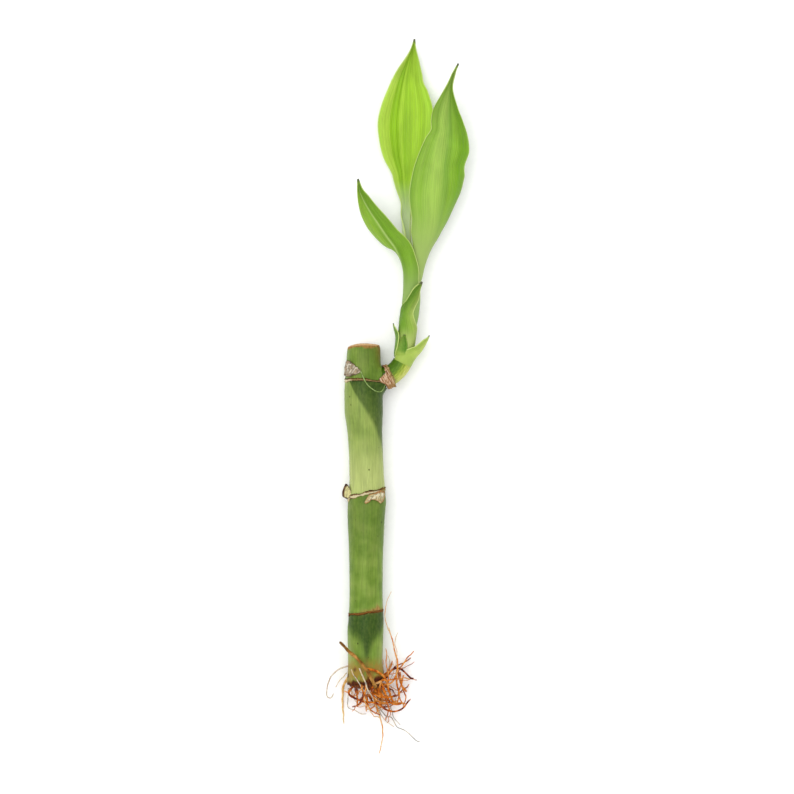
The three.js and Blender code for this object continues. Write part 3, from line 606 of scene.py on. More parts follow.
def ring_paint(name, ring):
    """Colours a ring by its stops from edge to edge, with a cream stretch on its left."""
    paint = Paint(name, roughness=0.85, specular=0.15)
    rough = paint.noise(0.8, 4.0, 0.65)
    fray = paint.noise(3.0, 3.0, 0.6, squeeze=(0.6, 1, 0.6))
    shifted = paint.add(paint.attribute("tone"), paint.band(rough, 0.2, 0.8, -0.16, 0.16))
    left = paint.add(paint.attribute("side"), paint.band(rough, 0.2, 0.8, -0.06, 0.06))
    starts = paint.band(left, ring["cream_from"], ring["cream_from"] + 0.06)
    cream = paint.times(starts, paint.band(left, 1.25, 1.15))
    pale = paint.ramp(shifted, {0.08: (104, 84, 50), 0.2: (206, 190, 144), 0.5: (228, 218, 182),
                                0.68: (156, 128, 84), 0.8: (74, 52, 30)})
    colour = paint.mix(cream, paint.ramp(shifted, ring["stops"]), pale)
    colour = paint.shade(colour, fray, 0.8, 1.15)
    return paint.finish(colour, paint.add(fray, rough), 0.16)


# Dry scraps of old sheath. Rows: angle round the cane, then where the scrap starts and ends along Y. Up to
# the angle cream_until a scrap shows its inner side. The last scrap curls out at the left end of the middle
# ring, cream beside the cane and brown at its outer side, and stands for no solid.
SCRAPS = {
    "husk_top": {
        "rows": [(98, 43.9, 44.7), (108, 43.3, 45.6), (120, 42.8, 46.5), (132, 42.5, 47.3), (145, 42.4, 48.0),
                 (156, 42.6, 47.6), (166, 43.0, 46.8), (178, 43.4, 45.4)],
        "lift": 0.36, "bulge": 0.0, "cream_until": 0,
        "stops": {0.34: (144, 126, 100), 0.5: (192, 180, 154), 0.66: (232, 226, 208)},
        "blotches": (176, 152, 120), "edges": (98, 76, 54), "inner": (190, 180, 156),
    },
    "husk_middle": {
        "rows": [(22, 2.6, 3.6), (30, 1.6, 4.1), (38, 0.5, 4.3), (47, -0.2, 4.2), (56, 0.7, 3.9),
                 (64, 1.0, 3.6), (74, 1.3, 3.2), (84, 0.5, 2.9), (90, 0.1, 1.8), (96, -0.05, 0.6)],
        "lift": 0.26, "bulge": 0.0, "cream_until": 0,
        "stops": {0.34: (166, 156, 108), 0.5: (208, 200, 158), 0.64: (236, 230, 200)},
        "blotches": (204, 174, 112), "edges": (176, 116, 62), "inner": (196, 170, 124),
    },
    "curled_scale": {
        "rows": [(148, 2.0, 4.4), (158, 1.7, 5.4), (168, 1.5, 6.2), (180, 1.3, 6.5), (192, 1.5, 6.2),
                 (204, 1.9, 5.2)],
        "lift": 0.1, "bulge": 2.0, "cream_until": 172,
        "stops": {0.25: (60, 38, 22), 0.5: (104, 72, 42), 0.75: (150, 112, 70)},
        "blotches": (86, 54, 30), "edges": (66, 42, 24), "inner": (216, 208, 146),
    },
}
SCRAP_ROUNDS = 90
SCRAP_WIDTHS = 28
SCRAP_THICKNESS = 0.22


def build_scrap(name, scrap, material):
    rows = np.array(scrap["rows"], float)
    degrees = np.linspace(rows[0, 0], rows[-1, 0], SCRAP_ROUNDS)[:, None]
    turn = np.linspace(0, 1, SCRAP_ROUNDS)[:, None]
    share = np.linspace(0, 1, SCRAP_WIDTHS)
    start = np.interp(degrees, rows[:, 0], rows[:, 1]) + 0.16 * soft_noise(turn, 0, 19, 1, 51)
    end = np.interp(degrees, rows[:, 0], rows[:, 2]) + 0.18 * soft_noise(turn, 0, 23, 1, 52)
    y = lerp(start, np.maximum(end, start + 0.2), share)
    x, z, radius = cane_at(y)
    edge = np.minimum(np.minimum(share, 1 - share) * 2, 1)
    wrinkle = 0.09 * soft_noise(turn, share, 26, 4, 53)
    curl = 0.35 * (1 - edge) ** 2 * (0.6 + 0.6 * soft_noise(turn, share, 11, 3, 54))
    belly = scrap["bulge"] * np.sin(0.7 + 2 * share) * smoothstep(share, -0.05, 0.16)
    belly = belly * smoothstep(degrees, degrees[0], 182)
    reach = radius + scrap["lift"] + wrinkle + np.maximum(curl, -0.1) + belly
    angle = np.radians(degrees) + 0 * y
    out = np.stack([np.cos(angle), 0 * y, np.sin(angle)], axis=-1)
    middle = np.stack([x, y, z], axis=-1) + reach[..., None] * out
    ends = np.minimum(np.minimum(turn, 1 - turn) * 8, 1)
    thickness = SCRAP_THICKNESS * (0.4 + 0.6 * edge) * (0.4 + 0.6 * ends)
    inside = 1 - smoothstep(degrees, scrap["cream_until"] - 6, scrap["cream_until"])
    values = {
        "edge": np.tile((edge * ends).ravel(), 2),
        "inside": np.concatenate([(inside + 0 * y).ravel(), np.ones(y.size)]),
    }
    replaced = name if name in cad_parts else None
    sheet = closed_sheet(middle, out, thickness)
    return add_piece(name + "_scrap", *sheet, material, "dry_husk", replaced, values)


def scrap_paint(name, scrap):
    """Colours a dry scrap by stops across its grain, with blotches, creases and darker edges."""
    paint = Paint(name, roughness=0.9, specular=0.12, sheen=0.08)
    grain = paint.noise(1.0, 3.0, 0.6, 0.5, squeeze=(1, 0.25, 1), turn=0.8)
    blotch = paint.noise(0.45, 2.0, 0.5)
    creases = paint.band(paint.maths("ABSOLUTE", paint.maths("SUBTRACT", grain, 0.5)), 0.03, 0.0)
    colour = paint.ramp(grain, scrap["stops"])
    colour = paint.mix(paint.band(blotch, 0.46, 0.62, 0.0, 0.75), colour, scrap["blotches"])
    colour = paint.mix(paint.times(creases, 0.35), colour, scrap["edges"])
    colour = paint.mix(paint.attribute("inside"), colour, scrap["inner"])
    edge = paint.add(paint.attribute("edge"), paint.band(blotch, 0.3, 0.7, -0.2, 0.2))
    colour = paint.mix(paint.band(edge, 0.05, 0.34, 0.85, 0.0), colour, scrap["edges"])
    return paint.finish(colour, paint.maths("SUBTRACT", grain, creases), 0.3)


# The brown papery scale round the foot of the shoot. It is a cup on the joint's axis.
# Rows: angle round the axis (90 up), then where the cup starts and ends along the axis
COLLAR_ROWS = np.array([
    [-180, -0.1, 1.2], [-120, -0.4, 0.9], [-60, -0.7, 0.8], [-15, -0.9, 0.9], [0, -1.0, 1.0], [28, -1.5, 1.2],
    [44, -1.7, 1.7], [60, -1.8, 1.84], [74, -2.5, 1.86], [88, -3.3, 1.84], [97, -2.6, 1.8], [104, -1.2, 1.78],
    [109, -0.4, 1.76], [114, 0.1, 1.75], [135, 0.25, 1.9], [160, 0.1, 1.6], [180, -0.1, 1.2],
])
COLLAR_RADIUS = 3.95
COLLAR_THICKNESS = 0.24
COLLAR_ROUNDS = 260
COLLAR_WIDTHS = 26


def build_collar(material):
    degrees = np.linspace(-180, 180, COLLAR_ROUNDS, endpoint=False)[:, None]
    turn = (degrees + 180) / 360
    share = np.linspace(0, 1, COLLAR_WIDTHS)
    start = np.interp(degrees, COLLAR_ROWS[:, 0], COLLAR_ROWS[:, 1]) + 0.2 * soft_noise(turn, 0, 40, 1, 61)
    end = np.interp(degrees, COLLAR_ROWS[:, 0], COLLAR_ROWS[:, 2]) + 0.26 * soft_noise(turn, 0, 36, 1, 62)
    along = lerp(start, end, share)
    angle = np.radians(degrees) + 0 * along
    edge = np.minimum(share, 1 - share) * 2 + 0 * along
    wrinkle = 0.14 * soft_noise(turn, share, 22, 3, 63) + 0.06 * soft_noise(turn, share, 30, 9, 64)
    curl = 0.22 * (1 - np.minimum(edge * 2.5, 1)) * (1 + soft_noise(turn, share, 15, 2, 65))
    reach = COLLAR_RADIUS + 0.13 * np.maximum(-along - 0.8, 0) + wrinkle + curl
    reach = reach + 0.1 * np.sin(angle * 2 + 0.6) - 0.1 * smoothstep(along, 0, 1.8)
    across = unit(np.cross(JOINT_FORWARD, UP))
    over = np.cross(across, JOINT_FORWARD)
    out = across * np.cos(angle)[..., None] + over * np.sin(angle)[..., None]
    middle = JOINT + along[..., None] * JOINT_FORWARD + out * reach[..., None]
    half = out * (COLLAR_THICKNESS * (0.4 + 0.6 * np.minimum(edge * 3, 1)))[..., None] / 2
    skin = np.concatenate([middle + half, (middle - half)[:, ::-1]], axis=1)
    skin[..., 2] = np.maximum(skin[..., 2], 0.05)
    faces = grid_faces(COLLAR_ROUNDS, 2 * COLLAR_WIDTHS, close_rows=True).tolist()
    values = {"edge": both_sides(edge), "around": both_sides(angle), "run": both_sides(along)}
    points = skin.reshape(-1, 3)
    return add_piece("branch_scale", points, faces, material, "collar_scale", "branch_collar", values)


def collar_paint():
    paint = Paint("collar_paper", roughness=0.8, specular=0.15)
    spot = paint.vector(paint.times(paint.attribute("around"), 1.6), paint.times(paint.attribute("run"), 2.6))
    streaks = paint.noise(1.0, 4.0, 0.7, 0.8, at=spot)
    grain = paint.noise(2.4, 4.0, 0.65)
    colour = paint.ramp(streaks, {0.36: (84, 48, 30), 0.43: (146, 102, 66), 0.52: (190, 148, 108),
                                  0.6: (234, 206, 176)})
    colour = paint.shade(colour, grain, 0.74, 1.18)
    colour = paint.mix(paint.band(paint.attribute("around"), 1.2, 0.6, 0.0, 0.38), colour, (196, 158, 98))
    colour = paint.mix(paint.band(paint.attribute("run"), 1.0, 1.35, 0.0, 0.7), colour, (176, 158, 98))
    edge = paint.add(paint.attribute("edge"), paint.band(grain, 0.3, 0.7, -0.12, 0.12))
    colour = paint.mix(paint.band(edge, 0.0, 0.16, 0.85, 0.0), colour, (84, 54, 34))
    return paint.finish(colour, paint.add(streaks, grain), 0.3)


# The side shoot's centre line, and rows of place along Y with the radius there
STEM_PATH = [
    [6.9, 42.2, 6.5], [9.4, 43.8, 6.6], [11.2, 45.6, 6.7], [12.3, 47.6, 6.8], [13.1, 51.0, 6.9],
    [14.0, 57.2, 7.0], [14.7, 62.4, 7.1], [15.2, 67.6, 7.1], [15.6, 72.4, 7.0], [15.8, 79.6, 6.8],
]
STEM_ROWS = np.array([
    [42.2, 3.5], [44.6, 3.3], [47.4, 3.25], [49.0, 2.35], [51.6, 2.05], [57.0, 1.9],
    [59.0, 1.7], [64.0, 1.55], [67.6, 1.3], [72.4, 1.0], [79.6, 0.85],
])
STEM_SIDES = 72
STEM_STEPS = 220


def build_stem(material):
    path, length = even_points(STEM_PATH, STEM_STEPS)
    along = np.linspace(0, length, STEM_STEPS)[:, None]
    radius = np.interp(path[:, 1:2], STEM_ROWS[:, 0], STEM_ROWS[:, 1])
    grain = soft_noise(np.arange(STEM_SIDES) / STEM_SIDES, along / length, 30, 8, 71)
    rings = round_rings(path, radius + 0.035 * grain)
    right = unit(np.cross(carried_frames(path)[0], UP))
    lit = np.einsum("ijk,ik->ij", unit(rings - path[:, None]), right)
    values = {
        "lit": np.append(lit.ravel(), [0.0, 0.0]),
        "along": np.append(np.repeat(along, STEM_SIDES), [0.0, length]),
    }
    return add_piece("stem_skin", *closed_tube(rings), material, "stem_skin", "shoot_stem", values)


def stem_paint():
    """Dark green on the left, yellow-green on the right, with a pale ring above the collar."""
    paint = Paint("stem_green", roughness=0.45, specular=0.18, subsurface=0.05)
    along = paint.attribute("along")
    spot = paint.vector(paint.times(paint.attribute("lit"), 7.0), paint.times(along, 0.5))
    streaks = paint.noise(1.0, 4.0, 0.6, at=spot)
    lit = paint.add(paint.attribute("lit"), paint.band(streaks, 0.2, 0.8, -0.18, 0.18))
    green = paint.ramp(paint.band(lit, -1.0, 1.0), {
        0.2: (84, 118, 42), 0.5: (104, 138, 50), 0.7: (146, 168, 66), 0.88: (182, 194, 90),
        1.0: (202, 208, 114),
    })
    green = paint.shade(green, streaks, 0.82, 1.14)
    ring = paint.times(paint.band(along, 1.9, 2.1), paint.band(along, 2.6, 2.3))
    colour = paint.mix(paint.times(ring, 0.5), green, (164, 172, 92))
    return paint.finish(colour, streaks, 0.06)


# Leaves
def side_frame(forward, degrees):
    """The way out of a keel's side and the way across it, as the keel faces a side."""
    right = unit(np.cross(forward, UP))
    above = np.cross(right, forward)
    turn = np.radians(degrees)[..., None]
    out = right * np.cos(turn) + above * np.sin(turn)
    across = right * np.sin(turn) - above * np.cos(turn)
    return out, across


STEM_SHARES = np.linspace(0, 1, 4001)
STEM_ALONG = curve_points(STEM_PATH, STEM_SHARES)[:, 1]


def wrapped(along, side, curl, back, front):
    """A leaf's row where its keel lies against the stem, at a place along Y."""
    share = np.array([np.interp(along, STEM_ALONG, STEM_SHARES)])
    centre = curve_points(STEM_PATH, share)[0]
    out, _ = side_frame(curve_directions(STEM_PATH, share), np.array([side], float))
    return [*(centre + out[0] * curl), side, curl, 0, back, front]


def leaf_rows(*rows):
    """A leaf is one sheet, from the sheath that wraps the stem to the tip of its blade.

    A row along its keel gives the keel's place, the side that the keel faces (0 right, 90 up, 180 left,
    -90 down), the radius that the sheet curls with there, its fold at the keel, and the widths of its two
    halves. A shorter row lies against the stem. It gives its place along Y, and has no fold.
    """
    return np.array([wrapped(*row) if len(row) == 5 else row for row in rows], float)


SMALL_LEAF = leaf_rows(
    (58.6, 180, 2.6, 6.4, 8.0), (62.4, 180, 2.85, 6.4, 9.0), (66.6, 178, 2.95, 6.0, 9.2),
    (70.4, 176, 2.95, 5.4, 8.0), (74.0, 174, 3.05, 5.2, 6.8),
    (12.5, 78.0, 7.6, 174, 3.2, 0, 5.0, 6.9), (11.5, 82.0, 8.2, 162, 3.9, 6, 5.0, 6.2),
    (9.9, 85.4, 9.8, 132, 6.0, 12, 5.6, 5.4), (7.4, 88.9, 10.2, 114, 9.0, 20, 6.5, 4.4),
    (4.3, 93.5, 10.8, 108, 10.0, 20, 6.6, 3.8), (1.2, 98.1, 10.6, 106, 10.0, 20, 4.9, 3.0),
    (-1.0, 102.0, 10.0, 104, 9.0, 18, 2.4, 2.3), (-2.2, 105.0, 9.3, 100, 8.0, 14, 0.9, 1.3),
    (-2.7, 108.8, 8.4, 95, 8.0, 8, 0.3, 0.3),
)
FRONT_LEAF = leaf_rows(
    (70.6, 20, 1.7, 3.6, 3.6), (72.6, 14, 1.75, 3.6, 3.8),
    (18.5, 75.0, 6.9, 6, 2.3, 0, 3.4, 3.6), (19.4, 79.0, 6.9, 12, 2.6, 0, 4.0, 4.2),
    (20.6, 83.5, 7.9, 30, 3.5, 2, 5.4, 4.4), (22.1, 88.5, 10.4, 52, 5.5, 3, 8.0, 4.0),
    (23.2, 94.4, 12.4, 68, 8.5, 5, 8.6, 6.6), (23.8, 102.4, 14.2, 80, 11.0, 6, 10.6, 10.4),
    (24.3, 109.6, 15.1, 86, 12.5, 6, 9.9, 10.9), (24.7, 113.6, 15.2, 88, 12.8, 6, 9.0, 9.9),
    (25.2, 118.4, 15.2, 90, 13.0, 6, 7.4, 11.2), (25.6, 121.6, 15.0, 91, 12.8, 6, 6.2, 10.6),
    (26.0, 124.6, 14.7, 91, 12.4, 6, 4.6, 9.4), (26.4, 128.0, 14.1, 92, 11.0, 6, 5.0, 7.4),
    (27.0, 132.4, 13.2, 94, 9.0, 8, 4.8, 4.4), (28.0, 139.0, 11.7, 94, 5.0, 10, 1.6, 1.2),
    (29.5, 143.9, 10.7, 92, 4.0, 8, 0.7, 0.5), (31.0, 147.4, 10.1, 90, 4.0, 6, 0.3, 0.3),
)
BACK_LEAF = leaf_rows(
    (76.4, -150, 1.5, 3.2, 2.2), (79.2, -150, 1.5, 3.2, 2.2),
    (13.8, 83.0, 6.0, -150, 1.5, 0, 3.1, 2.4), (12.8, 87.5, 5.6, -150, 1.5, 0, 2.9, 2.8),
    (12.6, 92.0, 4.9, -140, 1.6, 0, 2.6, 2.6), (13.0, 96.4, 3.6, -115, 2.4, 0, 2.2, 2.2),
    (13.5, 100.4, 2.4, -96, 4.5, 4, 2.2, 2.0), (13.6, 104.8, 1.4, -90, 8.0, 6, 3.8, 3.5),
    (13.5, 108.4, 0.8, -90, 10.6, 6, 5.2, 4.5), (13.4, 111.2, 0.5, -90, 12.4, 6, 6.4, 5.2),
    (13.3, 116.4, 0.3, -90, 14.0, 5, 8.5, 8.2), (13.2, 122.4, 0.3, -90, 15.0, 4, 9.9, 9.8),
    (13.2, 128.4, 0.3, -90, 15.0, 4, 10.5, 10.3), (13.3, 134.4, 0.6, -90, 14.0, 5, 10.2, 8.8),
    (13.6, 140.0, 1.3, -90, 12.0, 6, 7.9, 6.5), (13.9, 142.8, 1.7, -90, 11.0, 6, 5.9, 5.3),
    (14.2, 145.4, 2.1, -90, 10.0, 6, 5.1, 4.0), (15.0, 150.0, 2.9, -90, 8.0, 6, 3.0, 1.6),
    (15.7, 153.4, 3.6, -90, 6.0, 4, 1.2, 0.5), (16.3, 156.1, 4.2, -90, 6.0, 2, 0.3, 0.3),
)
# Stops across each leaf, from the half where across is under 0 to the other
# In the small leaf's stops the half past the midrib is darker: painted shade on the half turned from the
# light.
SMALL_STRIPES = {0.0: (146, 188, 62), 0.3: (142, 184, 58), 0.44: (130, 172, 58), 0.5: (150, 186, 90),
                 0.56: (112, 156, 46), 0.8: (126, 170, 54), 1.0: (118, 160, 50)}
# In the front leaf's stops the dark strip just inside the left margin is painted shade along the curled edge.
FRONT_STRIPES = {0.0: (104, 150, 44), 0.06: (130, 172, 60), 0.16: (146, 186, 74), 0.24: (136, 178, 64),
                 0.31: (150, 190, 78), 0.4: (162, 198, 88), 0.52: (158, 194, 86), 0.6: (130, 173, 68),
                 0.72: (136, 180, 58), 0.84: (118, 167, 44), 1.0: (126, 172, 48)}
BACK_STRIPES = {0.0: (172, 218, 68), 0.12: (182, 226, 78), 0.2: (168, 212, 60), 0.3: (178, 222, 68),
                0.4: (168, 212, 60), 0.5: (158, 206, 54), 0.57: (180, 222, 70), 0.65: (152, 200, 50),
                0.74: (154, 200, 54), 0.79: (184, 222, 78), 0.9: (194, 228, 92), 1.0: (182, 220, 86)}
# Colour of the thin margins of leaves and bracts
PALE_MARGIN = (208, 228, 134)
PALE_MARGINS = (PALE_MARGIN, PALE_MARGIN)
# Each bract's rows and the stops across it, its colour at the foot and where along it that ends, how much
# darker its upper part is, and its two margins
BRACTS = {
    "bract_right": {
        "rows": leaf_rows(
            (47.0, 0, 3.25, 8.6, 8.6), (48.2, 0, 3.42, 8.2, 8.2),
            (17.2, 49.4, 6.9, 3, 3.6, 0, 5.8, 5.2), (18.4, 50.8, 7.0, 5, 3.4, 0, 4.5, 4.2),
            (19.7, 52.8, 7.1, 6, 3.0, 4, 3.3, 3.2), (20.6, 54.6, 7.1, 8, 2.6, 6, 2.1, 2.0),
            (21.3, 56.3, 7.2, 8, 2.6, 4, 0.3, 0.3),
        ),
        "stripes": {0.0: (148, 176, 76), 0.2: (176, 200, 96), 0.4: (196, 216, 108), 0.6: (192, 214, 102),
                    1.0: (172, 196, 84)},
        "foot": (168, 192, 92), "foot_until": 0.26, "upper": 0.93, "margins": PALE_MARGINS,
    },
    "bract_left": {
        "rows": leaf_rows(
            (48.2, 184, 3.1, 3.6, 1.6), (49.8, 184, 3.46, 4.4, 2.2), (52.4, 184, 3.55, 3.8, 2.8),
            (55.6, 182, 3.85, 2.8, 3.2), (9.5, 58.2, 7.1, 176, 3.4, 4, 1.7, 2.2),
            (9.1, 60.4, 7.2, 174, 3.2, 4, 0.3, 0.3),
        ),
        "stripes": {0.0: (96, 144, 56), 0.5: (124, 162, 66), 1.0: (108, 152, 62)},
        "foot": (104, 148, 54), "foot_until": 0.1, "upper": 0.9, "margins": ((140, 160, 70), PALE_MARGIN),
    },
    "bract_front": {
        "rows": leaf_rows(
            (48.1, 122, 3.0, 1.3, 2.2), (49.8, 120, 3.4, 1.9, 2.3), (51.6, 118, 3.34, 2.1, 2.3),
            (53.6, 114, 3.26, 1.6, 1.8), (55.2, 110, 3.3, 0.9, 1.0), (56.4, 106, 3.36, 0.3, 0.3),
        ),
        # The dark stop toward this bract's right margin is painted shade under the tip of bract_left.
        "stripes": {0.0: (134, 168, 70), 0.5: (120, 158, 62), 0.85: (88, 134, 44), 1.0: (104, 148, 52)},
        "foot": (160, 186, 84), "foot_until": 0.26, "upper": 0.9, "margins": ((134, 168, 70), (124, 164, 64)),
    },
    "bract_upper": {
        "rows": leaf_rows(
            (48.6, 130, 2.95, 7.2, 7.2), (52.0, 130, 2.8, 7.2, 7.2), (55.0, 132, 2.9, 7.2, 7.2),
            (58.4, 134, 3.18, 7.2, 6.4), (61.4, 134, 3.3, 6.0, 4.6), (64.2, 128, 3.36, 3.2, 3.4),
            (66.8, 110, 3.45, 1.3, 3.0), (69.2, 86, 3.8, 1.3, 2.6),
            (17.1, 71.6, 11.2, 66, 3.9, 2, 1.3, 1.6), (18.8, 74.2, 10.9, 60, 3.9, 2, 0.3, 0.3),
        ),
        "stripes": {0.4: (104, 148, 48), 0.56: (116, 158, 54), 0.72: (134, 170, 64), 0.96: (168, 190, 98)},
        "foot": (180, 198, 114), "foot_until": 0.24, "upper": 0.82, "margins": PALE_MARGINS,
    },
}
FOLD_REACH = 0.8
SMALLEST_HALF = 0.3
SHEET_STEPS = 12
WAVE_HEIGHT = 0.5


def edge_wave(shares, across, waves, phase):
    rise = smoothstep(shares, 0.45, 0.6) * (1 - smoothstep(shares, 0.85, 1))
    swing = np.sin(shares * math.pi * 2 * waves + phase * np.sign(across))
    return WAVE_HEIGHT * swing * across ** 4 * rise


def leaf_surface(rows, shares, across, wave):
    """Points of a leaf's middle sheet, and the width of the half that each is in."""
    keel = curve_points(rows[:, :3], shares)
    bends = np.stack([rows[:, 3], 1 / rows[:, 4], rows[:, 5]], axis=1)
    side, curvature, fold = curve_points(bends, shares, chordal=False).T
    back, front = curve_points(rows[:, 6:8], shares, chordal=False).T
    out, aside = side_frame(curve_directions(rows[:, :3], shares), side)
    half = np.maximum(np.where(across < 0, back[:, None], front[:, None]), SMALLEST_HALF)
    stride = np.abs(across) * half / SHEET_STEPS
    outward = np.zeros_like(half)
    sideways = np.zeros_like(half)
    for i in range(SHEET_STEPS):
        reach = (i + 0.5) * stride
        slope = reach * curvature[:, None] + np.radians(fold)[:, None] * (1 - np.exp(-reach / FOLD_REACH))
        sideways += stride * np.cos(slope)
        outward -= stride * np.sin(slope)
    if wave:
        outward = outward + edge_wave(shares[:, None], across, *wave)
    points = keel[:, None] + aside[:, None] * (np.sign(across) * sideways)[..., None]
    return points + out[:, None] * outward[..., None], half


def build_leaf(name, rows, material, slot, lengths, widths, wave=None, thickness=0.4, pleats=(9, 0.07),
               midrib=0.12, blade_from=0.35, floor=None):
    shares = np.linspace(0, 1, lengths)
    along = shares[:, None]
    across = np.sin(np.linspace(-math.pi / 2, math.pi / 2, widths)) * 0.35 + np.linspace(-1, 1, widths) * 0.65
    middle, half = leaf_surface(rows, shares, across, wave)
    normal = unit(np.cross(np.gradient(middle, axis=1), np.gradient(middle, axis=0)))
    in_blade = smoothstep(along, blade_from, blade_from + 0.15) * (1 - smoothstep(along, 0.93, 1.0))
    count, depth = pleats
    ripple = np.cos(across * count * math.pi) * (1 - across ** 2)
    uneven = soft_noise(across / 2 + 0.5, along, 12, 14, len(name)) * 0.6
    middle = middle + normal * (depth * (ripple + uneven) * in_blade)[..., None]
    edge = 1 - np.abs(across)
    thick = thickness * (0.35 + 0.65 * smoothstep(edge, 0.0, 0.12)) * (0.2 + 0.8 * smoothstep(along, 0, 0.06))
    thick = thick + midrib * np.exp(-((across * half / 0.55) ** 2)) * in_blade
    points, faces = closed_sheet(middle, normal, thick)
    if floor is not None:
        points[:, 2] = np.maximum(points[:, 2], floor)
    grids = {"across": across + 0 * along, "along": along + 0 * across, "rim": half * edge}
    values = {key: np.tile(grid.ravel(), 2) for key, grid in grids.items()}
    return add_piece(name + "_blade", points, faces, material, slot, name, values)


def leaf_paint(name, stripes, foot, foot_until, tip=0.978, veins=34.0, margins=PALE_MARGINS, upper=0.9,
               upper_from=0.8, rib=0.0):
    """Colours a leaf by stops across its width, with veins, its own foot, a dark tip and thin margins."""
    paint = Paint(name, roughness=0.42, specular=0.16, subsurface=0.08)
    across = paint.attribute("across")
    along = paint.attribute("along")

    def streaks(crosswise, lengthwise, detail, roughness):
        spot = paint.vector(paint.times(across, crosswise), paint.times(along, lengthwise))
        return paint.noise(1.0, detail, roughness, at=spot)

    drift = streaks(5.0, 4.0, 4.0, 0.6)
    fine = streaks(26.0, 2.2, 3.0, 0.6)
    clouds = streaks(2.6, 9.0, 3.0, 0.5)
    spread = paint.add(paint.times(across, 0.5), 0.5)
    colour = paint.ramp(paint.add(spread, paint.band(drift, 0.2, 0.8, -0.035, 0.035)), stripes)
    colour = paint.shade(colour, fine, 0.84, 1.12)
    colour = paint.shade(colour, clouds, 0.88, 1.08)
    wave = paint.maths("SINE", paint.times(across, veins * math.pi))
    colour = paint.mix(paint.times(paint.band(wave, 0.75, 1.0), 0.14), colour, (226, 238, 150))
    if rib:
        middle = paint.band(paint.maths("ABSOLUTE", across), 0.07, 0.02)
        colour = paint.mix(paint.times(middle, rib), colour, (184, 210, 124))
    colour = paint.scale(colour, paint.band(along, upper_from - 0.2, upper_from + 0.08, 1.0, upper))
    colour = paint.mix(paint.band(along, foot_until + 0.14, foot_until - 0.08), colour, foot)
    rim = paint.add(paint.attribute("rim"), paint.band(fine, 0.2, 0.8, -0.06, 0.06))
    edging = paint.mix(paint.band(across, -0.02, 0.02), *margins)
    colour = paint.mix(paint.band(rim, 0.42, 0.18, 0.0, 0.85), colour, edging)
    frayed = paint.add(along, paint.band(drift, 0.2, 0.8, -0.008, 0.008))
    colour = paint.mix(paint.band(frayed, tip - 0.012, tip + 0.006), colour, (122, 144, 70))
    colour = paint.mix(paint.band(frayed, tip + 0.004, tip + 0.016), colour, (104, 108, 78))
    height = paint.add(paint.times(wave, 0.22), paint.times(fine, 0.55))
    height = paint.add(height, paint.times(paint.noise(5.0, 2.0), 0.25))
    return paint.finish(colour, height, 0.09)


def build_leaves():
    small_green = leaf_paint("small_leaf", SMALL_STRIPES, (146, 176, 96), 0.32, rib=0.6)
    build_leaf("leaf_small", SMALL_LEAF, small_green, "small_leaf_blade", 170, 56, thickness=0.28,
               blade_from=0.4)
    front_green = leaf_paint("front_leaf", FRONT_STRIPES, (164, 190, 106), 0.3, upper=0.8)
    build_leaf("leaf_front", FRONT_LEAF, front_green, "front_leaf_blade", 200, 72, wave=(5, 1))
    # The back leaf's foot is pale in itself, and is painted paler still: painted light that lifts the shade
    # cast on it by the leaves above.
    back_green = leaf_paint("back_leaf", BACK_STRIPES, (222, 240, 186), 0.3, upper=0.8, upper_from=0.84)
    build_leaf("leaf_back", BACK_LEAF, back_green, "back_leaf_blade", 200, 72, wave=(4, 2), floor=0.0)


def build_bracts():
    for name, bract in BRACTS.items():
        green = leaf_paint(name + "_green", bract["stripes"], bract["foot"], bract["foot_until"], tip=0.96,
                           veins=16.0, margins=bract["margins"], upper=bract["upper"], upper_from=0.66)
        build_leaf(name, bract["rows"], green, "bract_blade", 80, 40, thickness=0.28, pleats=(5, 0.03),
                   midrib=0.05, blade_from=0.2)


# Roots
class SeededRandom:
    """The same small generator as in the CAD model, so that the curly roots take the same routes."""

    def __init__(self, seed):
        self.state = seed

    def next(self):
        self.state = (self.state * 1664525 + 1013904223) % 4294967296
        return self.state / 4294967296

    def between(self, limits):
        return lerp(*limits, self.next())


# Tones of roots run from 0, dark, to 1, pale. These two stand for the callus and for olive bark.
CALLUS = -1.0
OLIVE = 1.4
crown_x, crown_z, _ = [float(v) for v in cane_at(CANE_BASE)]
# Roots laid one by one. Rows: start and end radius, tone, then the route
STOUT_ROOTS = [
    (0.62, 0.5, OLIVE, [(3.2, -61.5, 10.0), (2.8, -60.6, 13.0), (0.6, -56.4, 13.6), (-2.4, -52.4, 13.2),
                        (-6.4, -49.0, 11.4), (-8.9, -46.6, 8.4)]),
    (0.42, 0.28, 0.14, [(-4.2, -61.4, 8.2), (-5.8, -63.8, 9.8), (-1.6, -66.2, 10.6), (3.3, -67.0, 10.2),
                        (8.1, -69.8, 8.0), (11.8, -69.4, 5.4), (15.0, -66.0, 3.0)]),
    (0.34, 0.16, 0.5, [(1.5, -62.0, 5.0), (3.0, -67.6, 5.6), (5.4, -74.6, 3.0), (5.4, -80.0, 1.2),
                       (4.4, -85.0, 0.9)]),
    (0.34, 0.16, 0.36, [(3.8, -61.0, 7.0), (8.4, -60.4, 8.2), (10.6, -55.4, 8.0), (9.2, -47.8, 7.6),
                        (7.6, -41.6, 7.0)]),
]
